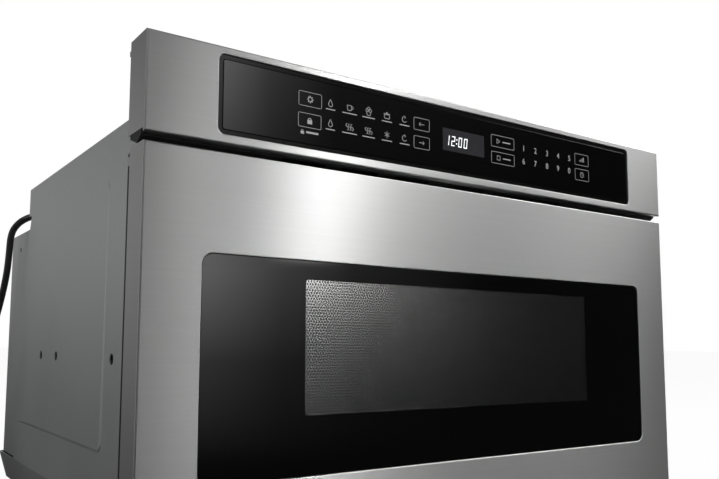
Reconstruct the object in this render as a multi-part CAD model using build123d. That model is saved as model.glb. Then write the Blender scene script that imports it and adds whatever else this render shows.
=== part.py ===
from build123d import *
import math
import os

os.makedirs("parts", exist_ok=True)

# A built-in microwave drawer, millimetres, +Z up, X to the right, Y rearwards.
# The origin is on the underside, in the middle of the width and of the depth.

# ---- overall ---------------------------------------------------------------
overall_width = 606.4
overall_height = 396.9
overall_depth = 590.5
front_y = -overall_depth / 2

# ---- stock -----------------------------------------------------------------
skin = 1.2              # stainless fronts
case_sheet = 1.2        # outer case
frame_sheet = 1.5       # front mounting frame
cavity_sheet = 1.0      # oven cavity and drawer box
edge_round = 1.3        # bend radius at the outside of the stainless fronts
lip_round = 0.9         # the same round both openings
seat_gap = 0.3          # clearance where one piece drops into another
slide_gap = 0.5         # clearance where a moving piece passes a fixed one

# ---- stainless fronts, glass -----------------------------------------------
panel_height = 73.6
panel_trim = 2.5        # the panel's folded sides end above its lower flange
vent_gap = 6.7
door_lift = 3.0         # underside of the drawer front above the floor
door_return = 28.4      # depth of the drawer front's folded sides
hold_tab_drop = 6.7     # hold-down tab on the folded side, below its top
hold_tab_height = 6.5
touch_width = overall_width - 112.4     # opening in the panel
touch_height = 60.7
touch_drop = 36.2       # middle of the opening below the panel's top
touch_corner = 5.0
bezel_face = 3.3        # width of the black ring round the touch glass
touch_glass_thick = 3.0
glass_edge = 0.4        # ground edge of the touch glass
glass_recess = 0.7      # glass faces behind the steel faces
window_width = overall_width - 91.8     # opening in the drawer front
window_height = 164.8
window_mid = 158.6
window_corner = 8.5
lip_depth = 3.4         # turned-in lip round both openings
door_glass_thick = 4.0
view_width = window_width - 176.2       # clear part of the window
view_height = 104.3
view_mid = 174.2
screen_depth = 21.8     # perforated screen behind the front face
screen_sheet = 0.8
inner_glass_thick = 4.0
tunnel_side = 12.0      # window tunnel wider than the clear part, each side
tunnel_rise = 10.0
choke_inset = 6.0       # choke channel outside the oven's mouth
choke_wide = 16.0
choke_deep = 16.0
cover_inset = 0.3       # choke cover inside the steel's outline

# ---- front mounting frame --------------------------------------------------
frame_face = 33.0       # face of the frame behind the front faces
frame_width = overall_width - 16.4
frame_low = 8.0
frame_high = overall_height - 8.9
frame_back = frame_face + frame_sheet
mount_spread_x = frame_width - 16.0
mount_spread_z = 210.0
mount_mid_z = 165.0
mount_hole = 5.2

# ---- case ------------------------------------------------------------------
case_width = overall_width - 56.4
case_top = overall_height - 32.7
upper_back = overall_depth - 115.5      # rear face of the upper rear panel
upper_wall_end = upper_back - 13.0      # side wall's rear edge at the top
lower_wall_end = upper_back + 30.0      # and below the slant
slant_high = overall_height - 65.9
slant_low = overall_height - 174.9
pan_height = 34.3
pan_taper = 10.0        # the pan's sides lean in by this much on each side
cover_width = case_width - 8.8
cover_top = overall_height - 79.9
cover_joggle = 15.0
cover_hole = 6.0
cover_hole_back = lower_wall_end + 31.0
cover_hole_z = overall_height - 101.0
emboss_rise = 1.3       # at its lower edge
emboss_rise_top = 0.2
emboss_front = 161.0
emboss_low = 80.9
emboss_high = overall_height - 74.9
emboss_bevel = 3.0
emboss_corner = 12.0
emboss_flat_end = lower_wall_end - 63.0
emboss_inset = 8.0      # rear and upper foot of the emboss inside the wall's edge
round_hole = 10.0
round_hole_z = 162.4
round_hole_backs = [141.0, 319.0, 383.0]

# ---- oven cavity and drawer box --------------------------------------------
mouth_width = overall_width - 142.4
mouth_low = 72.0
mouth_high = overall_height - 119.9
cavity_back = upper_back - 4.0
box_width = mouth_width - 20.0
box_low = mouth_low + 12.0
box_high = mouth_high - 15.0
box_end = cavity_back - 25.0
box_rim = 6.0
box_corner = 12.0
floor_flange = 14.0
floor_plate_thick = 4.0

# ---- slides ----------------------------------------------------------------
slide_mid_z = 127.0
slide_length = overall_depth - 174.5
slide_half_height = 22.8
slide_sheet = 1.5
slide_play = 0.35       # running clearance between nested slide members
slide_depth = 11.6
lip_reach = 2.7
slide_tab = 22.0        # foot of the inner member, screwed to the drawer front

# ---- rack and pinion -------------------------------------------------------
gear_module = 2.0
pinion_teeth = 16
addendum = 1.8
dedendum = 2.5
backlash = 0.35
pressure_angle = math.radians(20)
rack_x = 98.0
rack_wide = 12.0
rack_back = 8.0         # height of the rack's bar above its teeth
pinion_back = 78.0
pinion_z = 27.0
pinion_radius = gear_module * pinion_teeth / 2
rack_pitch_z = pinion_z + pinion_radius
shaft_fit = 0.05
motor_radius = 18.5
gearbox_length = 26.0
motor_length = 62.0
shaft_radius = 4.0
shaft_depth = 14.0      # the pinion's shaft in the gearbox
motor_bolts = 14.0      # radius of the four motor screws' circle

# ---- door hooks and their switches -----------------------------------------
hook_x = overall_width / 2 - 56.2
hook_z = 206.0
hook_wide = 6.0
hook_foot = 26.0

# ---- vent under the control panel ------------------------------------------
vent_spans = [(-187, -146), (-130, -92), (-73, -35), (-8, 34), (50, 87), (104, 142)]
vent_top_depth = 8.0
vent_low_depth = 15.0
vent_end_depth = 29.0   # the bar's ends stop short of the frame
vent_end_rise = 5.3     # and slope up towards the rear
vent_end_length = 12.7
rib_middles = [35.2 - overall_width / 2, -119.0, -12.0, 100.0, overall_width / 2 - 63.2]
duct_end = 210.0

# ---- microwave parts -------------------------------------------------------
antenna_back = 252.0
antenna_radius = 62.0
antenna_shaft = 3.5
guide_half = 45.0
guide_low = 40.0
guide_end = overall_depth - 16.5
magnetron_back = overall_depth - 58.5
magnetron_half = 42.0
magnetron_high = 80.0
lamp_x = 160.0
lamp_back = 380.0
transformer_x = 185.0
transformer_back = magnetron_back
transformer_width = 94.0
transformer_length = 80.0
transformer_height = 78.0
winding_limb = 22.0     # windows in the transformer's core
winding_over = 8.0      # winding beyond the core, front and rear
capacitor_x = -150.0
capacitor_back = magnetron_back
capacitor_width = 70.0
capacitor_deep = 40.0
capacitor_height = 96.0
lug_height = 10.0

# ---- cooling fan -----------------------------------------------------------
fan_x = -150.0
fan_z = 190.0
fan_half = 60.0
fan_bore = 56.0
fan_tip = 52.0
fan_deep = 40.3
fan_shaft = 2.5
fan_shaft_depth = 20.0  # the shaft in the motor
fan_hub = 15.0
inlet_rows = 8          # slots in the pan under the fan
inlet_pitch = 7.0

# ---- control panel inside --------------------------------------------------
display_width = 54.0
display_height = 22.0
display_x = 1.0
display_z = overall_height - 35.7
display_margin = 8.0
bezel_back = 2.2        # sheet of the moulding behind the glass
board_width = 420.0
board_height = 52.0
board_x = 5.0
board_depth = 14.0
board_sheet = 1.6
# relays, transformer and connectors on the board: X, width, height, depth
board_parts = [(-150, 18, 22, 15), (-122, 18, 22, 15), (-94, 18, 22, 15), (-40, 34, 30, 16),
               (60, 26, 14, 8), (120, 40, 9, 9), (175, 30, 9, 9)]

# ---- fasteners -------------------------------------------------------------
washer_radius = 4.8
washer_thick = 1.0
hex_radius = 3.6
hex_height = 2.4

# ---- mains cord ------------------------------------------------------------
cord = 8.5
cord_exit_x = 12.5 - case_width / 2
cord_exit_z = overall_height - 58.9
boot_length = 24.0
coil_turn_step = 11.2   # spacing of the turns in one layer
coil_layer_step = 9.2
coil_half_turns_in = 3
coil_inner = 37.5
coil_lift = 1.5         # the tie's strap passes below the coil
tail_run = 56.0         # end of the cord, from the coil to the plug
plug_axis_z = 13.0

# ---- worked out from the above ---------------------------------------------
panel_low = overall_height - panel_height
panel_mid = overall_height - panel_height / 2
door_high = panel_low - vent_gap
door_height = door_high - door_lift
door_mid = door_lift + door_height / 2
hold_tab_high = door_high - hold_tab_drop
hold_tab_low = hold_tab_high - hold_tab_height
touch_mid = overall_height - touch_drop
touch_glass_back = glass_recess + touch_glass_thick
mouth_height = mouth_high - mouth_low
mouth_mid = mouth_low + mouth_height / 2
inner_case = case_width / 2 - case_sheet
rear_face = overall_depth
box_mid = (box_low + box_high) / 2
box_height = box_high - box_low
cover_face = frame_face - slide_gap      # rear face of the plastic choke cover
cavity_top = mouth_high + cavity_sheet
cavity_floor = mouth_low - cavity_sheet
slide_step = slide_sheet + slide_play
outer_lip = inner_case - slide_depth
middle_lip = outer_lip + slide_step
inner_lip = middle_lip + slide_step
motor_face = rack_x + rack_wide / 2 + 8.0    # face of the bracket that the motor is screwed to
vent_slot_low = door_high + 1.8
vent_slot_high = panel_low - 1.3
fan_near = rear_face - case_sheet - fan_deep
vent_low = door_high + slide_gap
rack_top = rack_pitch_z + dedendum + rack_back
gearbox_face = motor_face + gearbox_length
motor_end = motor_face + motor_length


# ---- drawing helpers -------------------------------------------------------
def rect(width, height, x=0.0, z=0.0, corner=0.0):
    shape = RectangleRounded(width, height, corner) if corner else Rectangle(width, height)
    return Pos(x, z) * shape


def facing(sketch, near, far):
    """A sketch in X and Z, made solid between two depths behind the front face."""
    return extrude(Plane.XZ.offset(-(front_y + far)) * sketch, far - near)


def sideways(sketch, left, right):
    """A sketch in depth and Z, made solid between two X positions."""
    shifted = Pos(front_y, 0) * sketch
    return extrude(Plane.YZ.offset(left) * shifted, right - left)


def standing(sketch, low, high):
    """A sketch in X and depth, made solid between two heights."""
    shifted = Pos(0, front_y) * sketch
    return extrude(Plane.XY.offset(low) * shifted, high - low)


def polygon(*points):
    return make_face(Polyline(*points, close=True))


def block(left, right, near, far, low, high):
    """A plain cuboid, its depths behind the front face."""
    size = Box(right - left, far - near, high - low)
    return Pos((left + right) / 2, front_y + (near + far) / 2, (low + high) / 2) * size


def rod_x(radius, left, right, depth, z):
    return sideways(Pos(depth, z) * Circle(radius), left, right)


def rod_y(radius, near, far, x, z):
    return facing(Pos(x, z) * Circle(radius), near, far)


def rod_z(radius, low, high, x, depth):
    return standing(Pos(x, depth) * Circle(radius), low, high)


def both_sides(shape):
    return shape + mirror(shape, Plane.YZ)


def front_edges(shape, depth=0.0):
    """Edges that lie wholly in one plane facing the front."""
    at = front_y + depth
    return [e for e in shape.edges() if all(abs(v.Y - at) < 1e-4 for v in (e @ 0, e @ 0.5, e @ 1))]


def mount_points():
    spots = []
    for side in (-1, 1):
        for level in (-1, 1):
            spots.append((side * mount_spread_x / 2, mount_mid_z + level * mount_spread_z / 2))
    return spots


def rear_screw(x, z, depth):
    """A washer-head screw on a surface that faces the back."""
    washer_end = depth + washer_thick
    hexagon = Pos(x, z) * RegularPolygon(hex_radius, 6)
    return rod_y(washer_radius, depth, washer_end, x, z) + facing(hexagon, washer_end, washer_end + hex_height)


# ---- stainless fronts ------------------------------------------------------
def folded_front(width, height, mid_z, depth):
    """A sheet front with its four sides folded back round a bend."""
    low, high = mid_z - height / 2, mid_z + height / 2
    plan = block(-width / 2, width / 2, 0, depth, low, high)
    upright = [e for e in front_edges(plan) if abs((e % 0.5).Z) > 0.5]
    level = [e for e in front_edges(plan) if abs((e % 0.5).X) > 0.5]
    solid = fillet(upright, edge_round) & fillet(level, edge_round)
    hollow = facing(rect(width - 2 * skin, height - 2 * skin, 0, mid_z), skin, depth)
    return solid - hollow


def lipped_opening(front, width, height, mid_z, corner):
    """Cut an opening in a folded front and turn a lip in round it."""
    opening = rect(width, height, 0, mid_z, corner)
    around = rect(width + 2 * skin, height + 2 * skin, 0, mid_z, corner + skin)
    front = front + facing(around, skin, lip_depth)
    front = front - facing(opening, 0, lip_depth)
    inside = [e for e in front_edges(front) if abs((e @ 0.5).X) < width / 2 + 0.01
              and abs((e @ 0.5).Z - mid_z) < height / 2 + 0.01]
    return fillet(inside, lip_round)


def control_panel_frame():
    panel = folded_front(overall_width, panel_height, panel_mid, frame_face)
    panel = lipped_opening(panel, touch_width, touch_height, touch_mid, touch_corner)
    side_out = overall_width / 2
    trim = block(side_out - skin, side_out, 2 * lip_round + edge_round, frame_face,
                 panel_low, panel_low + panel_trim)
    # a small lug on each folded side locates the panel on the frame
    lug = block(side_out - skin, side_out, frame_face, frame_face + 2.0,
                overall_height - 10.4, overall_height - 6.6)
    return panel - both_sides(trim) + both_sides(lug)


def drawer_front_skin():
    front = folded_front(overall_width, door_height, door_mid, door_return)
    front = lipped_opening(front, window_width, window_height, window_mid, window_corner)
    # a hold-down tab on each side reaches back over the choke cover
    tab = block(overall_width / 2 - skin, overall_width / 2, door_return, cover_face,
                hold_tab_low, hold_tab_high)
    return front + both_sides(tab)


def window_glass():
    pane = rect(window_width - 2 * seat_gap, window_height - 2 * seat_gap, 0, window_mid,
                window_corner - seat_gap)
    return facing(pane, glass_recess, glass_recess + door_glass_thick)


def tunnel_outline(shrink, corner):
    """Outline of the window tunnel, or of what drops into it."""
    return rect(view_width + 2 * (tunnel_side - shrink), view_height + 2 * (tunnel_rise - shrink),
                0, view_mid, corner)


def mouth_outline(grow):
    return rect(mouth_width + 2 * grow, mouth_height + 2 * grow, 0, mouth_mid)


def choke_frame():
    """The door's inner steel pan: choke channel, window tunnel and rear plate."""
    near = glass_recess + door_glass_thick
    rear = door_return
    t = cavity_sheet
    width = overall_width - 2 * skin
    height = door_height - 2 * skin
    outside = facing(rect(width, height, 0, door_mid), near, rear)
    tunnel_wall = tunnel_outline(-t, 4 + t)
    hollow = rect(width - 2 * t, height - 2 * t, 0, door_mid)
    pan = outside - facing(hollow - tunnel_wall, near, rear - t)
    pan = pan - facing(tunnel_outline(0, 4), near, rear)
    # inner lip that carries the screen in front and the inner pane behind
    lip = tunnel_wall - tunnel_outline(tunnel_side / 2, 3)
    pan = pan + facing(lip, screen_depth + screen_sheet, rear - inner_glass_thick)
    # choke channel, open to the rear, round the cavity's mouth
    choke_out = choke_inset + choke_wide
    channel_front = rear - choke_deep
    walls = mouth_outline(choke_out + t) - mouth_outline(choke_inset - t)
    pan = pan + facing(walls, channel_front - t, rear)
    return pan - facing(mouth_outline(choke_out) - mouth_outline(choke_inset), channel_front, rear)


def door_screen():
    return facing(tunnel_outline(seat_gap, 3), screen_depth, screen_depth + screen_sheet)


def inner_window():
    return facing(tunnel_outline(seat_gap, 3), door_return - inner_glass_thick, door_return)


def hook_hole(side):
    return rect(hook_foot + 2, hook_foot + 2, side * hook_x, hook_z)


def choke_cover():
    """Moulded ring over the choke channel; it shows as a black line behind the steel."""
    plate = rect(overall_width - 2 * cover_inset, door_height - 4, 0, door_mid, 3)
    hole = rect(box_width + 2 * box_rim + 4, box_height + 10, 0, box_mid, 4)
    slide_notch = rect(slide_tab + 18, 2 * slide_half_height + 4.4, inner_case + 0.2, slide_mid_z)
    rack_notch = rect(rack_wide + 16, 46, rack_x, rack_pitch_z)
    side_out = overall_width / 2
    tab_notch = block(side_out - skin - seat_gap, side_out, door_return, cover_face,
                      hold_tab_low - seat_gap, hold_tab_high + seat_gap)
    cover = facing(plate - hole - rack_notch, door_return, cover_face)
    cover = cover - both_sides(facing(slide_notch, door_return, cover_face))
    cover = cover - facing(hook_hole(1) + hook_hole(-1), door_return, cover_face)
    return cover - both_sides(tab_notch)


# ---- drawer box ------------------------------------------------------------
def drawer_box():
    near = door_return
    tub = block(-box_width / 2, box_width / 2, near, box_end, box_low, box_high)
    tub = fillet(tub.edges().filter_by(Axis.Z).sort_by(Axis.Y)[-2:], box_corner)
    inside = block(-box_width / 2 + cavity_sheet, box_width / 2 - cavity_sheet,
                   near + cavity_sheet, box_end - cavity_sheet, box_low + cavity_sheet, box_high)
    inside = fillet(inside.edges().filter_by(Axis.Z).sort_by(Axis.Y)[-2:], box_corner - cavity_sheet)
    tub = tub - inside
    # the floor is only a flange: the ceramic plate lies on it
    well = block(-box_width / 2 + floor_flange, box_width / 2 - floor_flange,
                 near + floor_flange, box_end - floor_flange, box_low, box_low + cavity_sheet)
    tub = tub - well
    rim = block(-box_width / 2 - box_rim, box_width / 2 + box_rim, near + 10, box_end + box_rim,
                box_high - cavity_sheet, box_high)
    rim = rim - block(-box_width / 2, box_width / 2, near, box_end, box_low, box_high)
    rim = fillet(rim.edges().filter_by(Axis.Z).sort_by(Axis.Y)[-2:], box_corner + 4)
    tub = tub + rim
    return tub - facing(rect(view_width + 8, view_height + 6, 0, view_mid, 3), near, near + cavity_sheet)


def drawer_floor():
    low = box_low + cavity_sheet
    slab = block(-box_width / 2 + cavity_sheet + seat_gap, box_width / 2 - cavity_sheet - seat_gap,
                 door_return + cavity_sheet + seat_gap, box_end - cavity_sheet - seat_gap,
                 low, low + floor_plate_thick)
    return fillet(slab.edges().filter_by(Axis.Z), box_corner)


# ---- slides ----------------------------------------------------------------
def slide_profile(web_out, lip_face, half_height, reach):
    """Lipped channel, open towards the middle of the oven, drawn in X and Z."""
    t = slide_sheet
    h = half_height
    right = polygon((web_out, -h), (web_out, h), (lip_face, h), (lip_face, h - t - reach),
                    (lip_face + t, h - t - reach), (lip_face + t, h - t), (web_out - t, h - t),
                    (web_out - t, -h + t), (lip_face + t, -h + t), (lip_face + t, -h + t + reach),
                    (lip_face, -h + t + reach), (lip_face, -h))
    return Pos(0, slide_mid_z) * right


def rail_outer(side):
    profile = slide_profile(inner_case, outer_lip, slide_half_height, lip_reach)
    rail = facing(profile, frame_back, frame_back + slide_length)
    return rail if side > 0 else mirror(rail, Plane.YZ)


def rail_middle(side):
    profile = slide_profile(inner_case - slide_step, middle_lip, slide_half_height - slide_step, lip_reach)
    rail = facing(profile, frame_back, frame_back + slide_length)
    return rail if side > 0 else mirror(rail, Plane.YZ)


def rail_inner(side):
    half = slide_half_height - 2 * slide_step
    web = inner_case - 2 * slide_step
    profile = polygon((web, -half), (web, half), (inner_lip, half), (inner_lip, half - slide_sheet),
                      (web - slide_sheet, half - slide_sheet), (web - slide_sheet, -half + slide_sheet),
                      (inner_lip, -half + slide_sheet), (inner_lip, -half))
    rail = facing(Pos(0, slide_mid_z) * profile, door_return, frame_back + slide_length)
    tab = rect(slide_tab, 2 * half, web + slide_tab / 2 - slide_sheet, slide_mid_z)
    rail = rail + facing(tab, door_return, door_return + slide_sheet)
    return rail if side > 0 else mirror(rail, Plane.YZ)


# ---- drive -----------------------------------------------------------------
def rack_gear():
    """Rack hung below the cavity; its teeth point down on to the pinion."""
    pitch = math.pi * gear_module
    half = (pitch / 2 - backlash) / 2
    slope = math.tan(pressure_angle)
    root = rack_pitch_z + dedendum
    tip = rack_pitch_z - addendum
    top = rack_top
    start = door_return + 2.0
    end = frame_back + slide_length - 6
    first = math.ceil((start + pitch - pinion_back) / pitch)
    last = math.floor((end - pitch - pinion_back) / pitch)
    points = [(start, top), (start, root)]
    for tooth in range(first, last + 1):
        at = pinion_back + tooth * pitch
        points.append((at - half - dedendum * slope, root))
        points.append((at - half + addendum * slope, tip))
        points.append((at + half - addendum * slope, tip))
        points.append((at + half + dedendum * slope, root))
    points += [(end, root), (end, top)]
    bar = sideways(polygon(*points), rack_x - rack_wide / 2, rack_x + rack_wide / 2)
    foot = rect(rack_wide + 8, 34, rack_x, rack_pitch_z)
    return bar + facing(foot, door_return, start)


def pinion_points():
    base = pinion_radius * math.cos(pressure_angle)
    tip = pinion_radius + addendum
    root = pinion_radius - dedendum
    half_pitch_angle = (math.pi * gear_module / 2 - backlash) / 2 / pinion_radius
    involute = math.tan(pressure_angle) - pressure_angle

    def flank(radius):
        turn = math.acos(min(1.0, base / radius))
        return half_pitch_angle + involute - (math.tan(turn) - turn)

    radii = [root, base + 0.1, pinion_radius, tip]
    points = []
    for tooth in range(pinion_teeth):
        centre = math.pi / 2 + (tooth + 0.5) * 2 * math.pi / pinion_teeth
        for radius in radii:
            angle = centre - flank(max(radius, base + 0.1))
            points.append((radius * math.cos(angle), radius * math.sin(angle)))
        for radius in reversed(radii):
            angle = centre + flank(max(radius, base + 0.1))
            points.append((radius * math.cos(angle), radius * math.sin(angle)))
    return points


def drive_pinion():
    wheel = Pos(pinion_back, pinion_z) * polygon(*pinion_points())
    left = rack_x - rack_wide / 2 - 1
    right = rack_x + rack_wide / 2 + 1
    gear = sideways(wheel, left, right)
    hub = rod_x(7, right, motor_face - 3.0, pinion_back, pinion_z)
    shaft = rod_x(shaft_radius, left - 3, motor_face + shaft_depth, pinion_back, pinion_z)
    return gear + hub + shaft


def drive_bracket():
    """Folded bracket on the base pan that carries the drive motor."""
    t = frame_sheet
    plate = polygon((pinion_back - 24, case_sheet), (pinion_back + 24, case_sheet),
                    (pinion_back + 24, 46), (pinion_back + 14, 56), (pinion_back - 14, 56),
                    (pinion_back - 24, 46))
    upright = sideways(plate, motor_face - t, motor_face)
    foot = block(motor_face - t, motor_face + 22, pinion_back - 24, pinion_back + 24,
                 case_sheet, case_sheet + t)
    bracket = upright + foot
    bracket = bracket - rod_x(7.5, motor_face - t, motor_face, pinion_back, pinion_z)
    for turn in (45, 135, 225, 315):
        at = (pinion_back + motor_bolts * math.cos(math.radians(turn)),
              pinion_z + motor_bolts * math.sin(math.radians(turn)))
        bracket = bracket - rod_x(1.6, motor_face - t, motor_face, *at)
    return bracket


def drive_motor():
    gearbox = rod_x(motor_radius, motor_face, gearbox_face, pinion_back, pinion_z)
    can = rod_x(motor_radius - 3, gearbox_face, motor_end, pinion_back, pinion_z)
    rear_boss = rod_x(6, motor_end, motor_end + 5, pinion_back, pinion_z)
    bore = rod_x(shaft_radius + shaft_fit, motor_face, motor_face + shaft_depth + slide_gap,
                 pinion_back, pinion_z)
    return gearbox + can + rear_boss - bore


def rack_guides():
    """Moulded saddles under the cavity; the rack's bar slides between their jaws."""
    depths = [pinion_back, frame_back + slide_length * 0.55]
    guides = None
    for depth in depths:
        saddle = block(rack_x - rack_wide / 2 - 5, rack_x + rack_wide / 2 + 5, depth - 14, depth + 14,
                       rack_pitch_z + dedendum + 1, cavity_floor)
        slot = block(rack_x - rack_wide / 2 - slide_play, rack_x + rack_wide / 2 + slide_play,
                     depth - 14, depth + 14, rack_pitch_z, rack_top + slide_play)
        saddle = saddle - slot
        guides = saddle if guides is None else guides + saddle
    return guides


def latch_hooks():
    """Hooks on feet that bridge the choke channel; they reach through the frame."""
    foot_back = door_return + 2
    foot = facing(rect(hook_foot, hook_foot, hook_x, hook_z), door_return, foot_back)
    profile = polygon((foot_back, hook_z - 5), (frame_back + 18, hook_z - 5),
                      (frame_back + 22, hook_z), (frame_back + 18, hook_z + 8),
                      (frame_back + 13, hook_z + 8), (frame_back + 13, hook_z + 3),
                      (foot_back, hook_z + 3))
    return both_sides(foot + sideways(profile, hook_x - hook_wide / 2, hook_x + hook_wide / 2))


def interlock_switches():
    body = block(hook_x - 10, hook_x + 10, frame_back, frame_back + 34, hook_z - 24, hook_z + 30)
    half = hook_wide / 2 + 1.5
    slot = block(hook_x - half, hook_x + half, frame_back, frame_back + 26, hook_z - 8, hook_z + 11)
    body = body - slot
    terminals = block(hook_x - 6, hook_x - 5, frame_back + 34, frame_back + 41, hook_z - 14, hook_z - 8)
    terminals = terminals + block(hook_x + 5, hook_x + 6, frame_back + 34, frame_back + 41,
                                  hook_z + 12, hook_z + 18)
    return both_sides(body + terminals)


# ---- case ------------------------------------------------------------------
def vent_slots(low, high, near, far):
    """The six outlets of the vent, and what lines up with them."""
    cut = None
    for left, right in vent_spans:
        slot = rect(right - left, high - low, (left + right) / 2, (low + high) / 2)
        slot = facing(slot, near, far)
        cut = slot if cut is None else cut + slot
    return cut


def vent_grille():
    """Black bar in the gap below the panel; its end caps fill the panel's trimmed sides."""
    crest = panel_low - 1.5
    bar_end = overall_width / 2 - skin - 0.1
    bar_half = bar_end - vent_end_length
    section = polygon((vent_top_depth, panel_low), (frame_face, panel_low), (frame_face, vent_low),
                      (vent_low_depth, vent_low), (vent_top_depth, crest))
    end = polygon((vent_top_depth, panel_low), (vent_end_depth, panel_low),
                  (vent_end_depth, vent_low + vent_end_rise), (vent_low_depth, vent_low),
                  (vent_top_depth, crest))
    cap_high = panel_low + panel_trim - 0.2
    cap = polygon((vent_top_depth - 2, cap_high), (vent_end_depth, cap_high),
                  (vent_end_depth, vent_low + vent_end_rise), (vent_low_depth, vent_low),
                  (vent_top_depth, crest))
    bar = sideways(section, -bar_half, bar_half)
    bar = bar + both_sides(sideways(end, bar_half, bar_end + 0.2))
    bar = bar + both_sides(sideways(cap, bar_end + 0.15, overall_width / 2 - 0.2))
    bar = bar - vent_slots(vent_slot_low, vent_slot_high, 0, frame_face)
    # small paired ribs along the lower edge
    rib = polygon((vent_low_depth - 3.0, vent_low + 2.2), (vent_low_depth + 1.5, vent_low + 2.2),
                  (vent_low_depth + 1.5, vent_low), (vent_low_depth - 1.0, vent_low))
    for middle in rib_middles:
        for shift in (-3, 3):
            bar = bar + sideways(rib, middle + shift - 1, middle + shift + 1)
    return bar


def front_frame():
    mid = (frame_low + frame_high) / 2
    plate = rect(frame_width, frame_high - frame_low, 0, mid, 6)
    plate = plate - rect(mouth_width, mouth_height, 0, mouth_mid)
    slot_left = outer_lip - slide_gap
    slot_right = inner_case - slide_step + slide_gap + 0.4
    for side in (-1, 1):
        plate = plate - rect(slot_right - slot_left, 2 * (slide_half_height - slide_step + 1),
                             side * (slot_left + slot_right) / 2, slide_mid_z)
        plate = plate - rect(hook_wide + 6, 22, side * hook_x, hook_z)
    plate = plate - rect(rack_wide + 6, 30, rack_x, rack_pitch_z + 4)
    plate = plate - rect(220, 26, 0, panel_mid + 2, 4)
    for x, z in mount_points():
        plate = plate - Pos(x, z) * Circle(mount_hole / 2)
    frame = facing(plate, frame_face, frame_back)
    return frame - vent_slots(vent_slot_low, vent_slot_high, frame_face, frame_back)


def emboss(lift=0.0):
    """Raised field of a side wall, drawn on the right-hand wall: it stands out most at its foot."""
    base = case_width / 2 + lift
    deep = base + 2 * emboss_rise
    slant = (lower_wall_end - upper_wall_end) / (slant_high - slant_low)
    rear_high = upper_wall_end + (slant_high - emboss_high) * slant - emboss_inset
    rear_low = lower_wall_end - emboss_inset
    outline = polygon((emboss_front, emboss_low), (emboss_front, emboss_high), (rear_high, emboss_high),
                      (rear_low, slant_low - emboss_inset), (rear_low, emboss_low))
    field = sideways(outline, base, deep)
    field = fillet(field.edges().filter_by(Axis.X).sort_by(Axis.Y)[:2], emboss_corner)
    rising = polygon((base, emboss_low), (base + emboss_rise, emboss_low + emboss_bevel),
                     (base + emboss_rise_top, emboss_high), (base, emboss_high))
    field = field & facing(rising, emboss_front, rear_low)
    sloping = polygon((base, emboss_front), (deep, emboss_front + 2 * emboss_bevel),
                      (deep, 2 * emboss_flat_end - rear_low), (base, rear_low))
    return field & standing(sloping, emboss_low, emboss_high)


def side_wall(side):
    outline = polygon((frame_back, pan_height), (frame_back, case_top - case_sheet),
                      (upper_wall_end, case_top - case_sheet), (upper_wall_end, slant_high),
                      (lower_wall_end, slant_low), (lower_wall_end, pan_height))
    wall = sideways(outline, inner_case, case_width / 2)
    wall = wall + emboss() - emboss(-case_sheet)
    for depth in round_hole_backs:
        wall = wall - rod_x(round_hole / 2, inner_case, case_width / 2 + emboss_rise, depth, round_hole_z)
    return wall if side > 0 else mirror(wall, Plane.YZ)


def base_pan():
    top = case_width / 2
    bottom = top - pan_taper
    t = case_sheet
    outer = polygon((-top, pan_height), (-bottom, 0), (bottom, 0), (top, pan_height))
    inner = polygon((-top + t, pan_height), (-bottom + t, t), (bottom - t, t), (top - t, pan_height))
    pan = facing(outer, frame_back, rear_face) - facing(inner, frame_back + t, rear_face - t)
    # air inlet under the fan
    for row in range(inlet_rows):
        depth = rear_face - 70.5 + inlet_pitch * (row - inlet_rows / 2)
        slot = Pos(fan_x, front_y + depth) * SlotOverall(90, 3.6)
        pan = pan - extrude(Plane.XY * slot, t)
    return pan


def top_cover():
    plate = block(-case_width / 2, case_width / 2, frame_back, upper_back, case_top - case_sheet, case_top)
    flange = block(inner_case - case_sheet, inner_case, frame_back, upper_wall_end,
                   case_top - 12, case_top - case_sheet)
    return plate + both_sides(flange)


def upper_rear_panel():
    t = case_sheet
    sheet = block(-case_width / 2, case_width / 2, upper_back - t, upper_back, cover_top, case_top - t)
    flange = block(inner_case, case_width / 2, upper_wall_end, upper_back - t, slant_high, case_top - t)
    panel = sheet + both_sides(flange)
    cut = block(cover_width / 2 + seat_gap, case_width / 2, upper_wall_end, upper_back, cover_top, slant_high)
    panel = panel - both_sides(cut)
    return panel - rod_y(cord / 2 + 3 + shaft_fit, upper_back - t, upper_back, cord_exit_x, cord_exit_z)


def rear_cover():
    """Box over the magnetron and transformer, with louvre slots in its back."""
    t = case_sheet
    half = cover_width / 2
    near = upper_wall_end - 7
    tub = block(-half, half, near, rear_face, pan_height, cover_top)
    tub = fillet(tub.edges().filter_by(Axis.Z).sort_by(Axis.Y)[-2:], 4)
    inside = block(-half + t, half - t, near, rear_face - t, pan_height, cover_top - t)
    tub = tub - inside
    tub = tub - block(-half, half, near, upper_back - t, cover_top - t, cover_top)
    # each side steps out at its front edge to meet the side wall's inner face
    step = block(half - t, inner_case, near, near + cover_joggle, pan_height, slant_low)
    tub = tub + both_sides(step)
    tub = tub - rod_x(cover_hole / 2, -half, half, cover_hole_back, cover_hole_z)
    for bank, columns in ((fan_x, 3), (60, 4)):
        for column in range(columns):
            for row in range(9):
                x = bank + (column - (columns - 1) / 2) * 44
                z = fan_z + (row - 5) * 14
                slot = facing(Pos(x, z) * SlotOverall(34, 4), rear_face - t, rear_face)
                tub = tub - slot
    return tub


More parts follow.
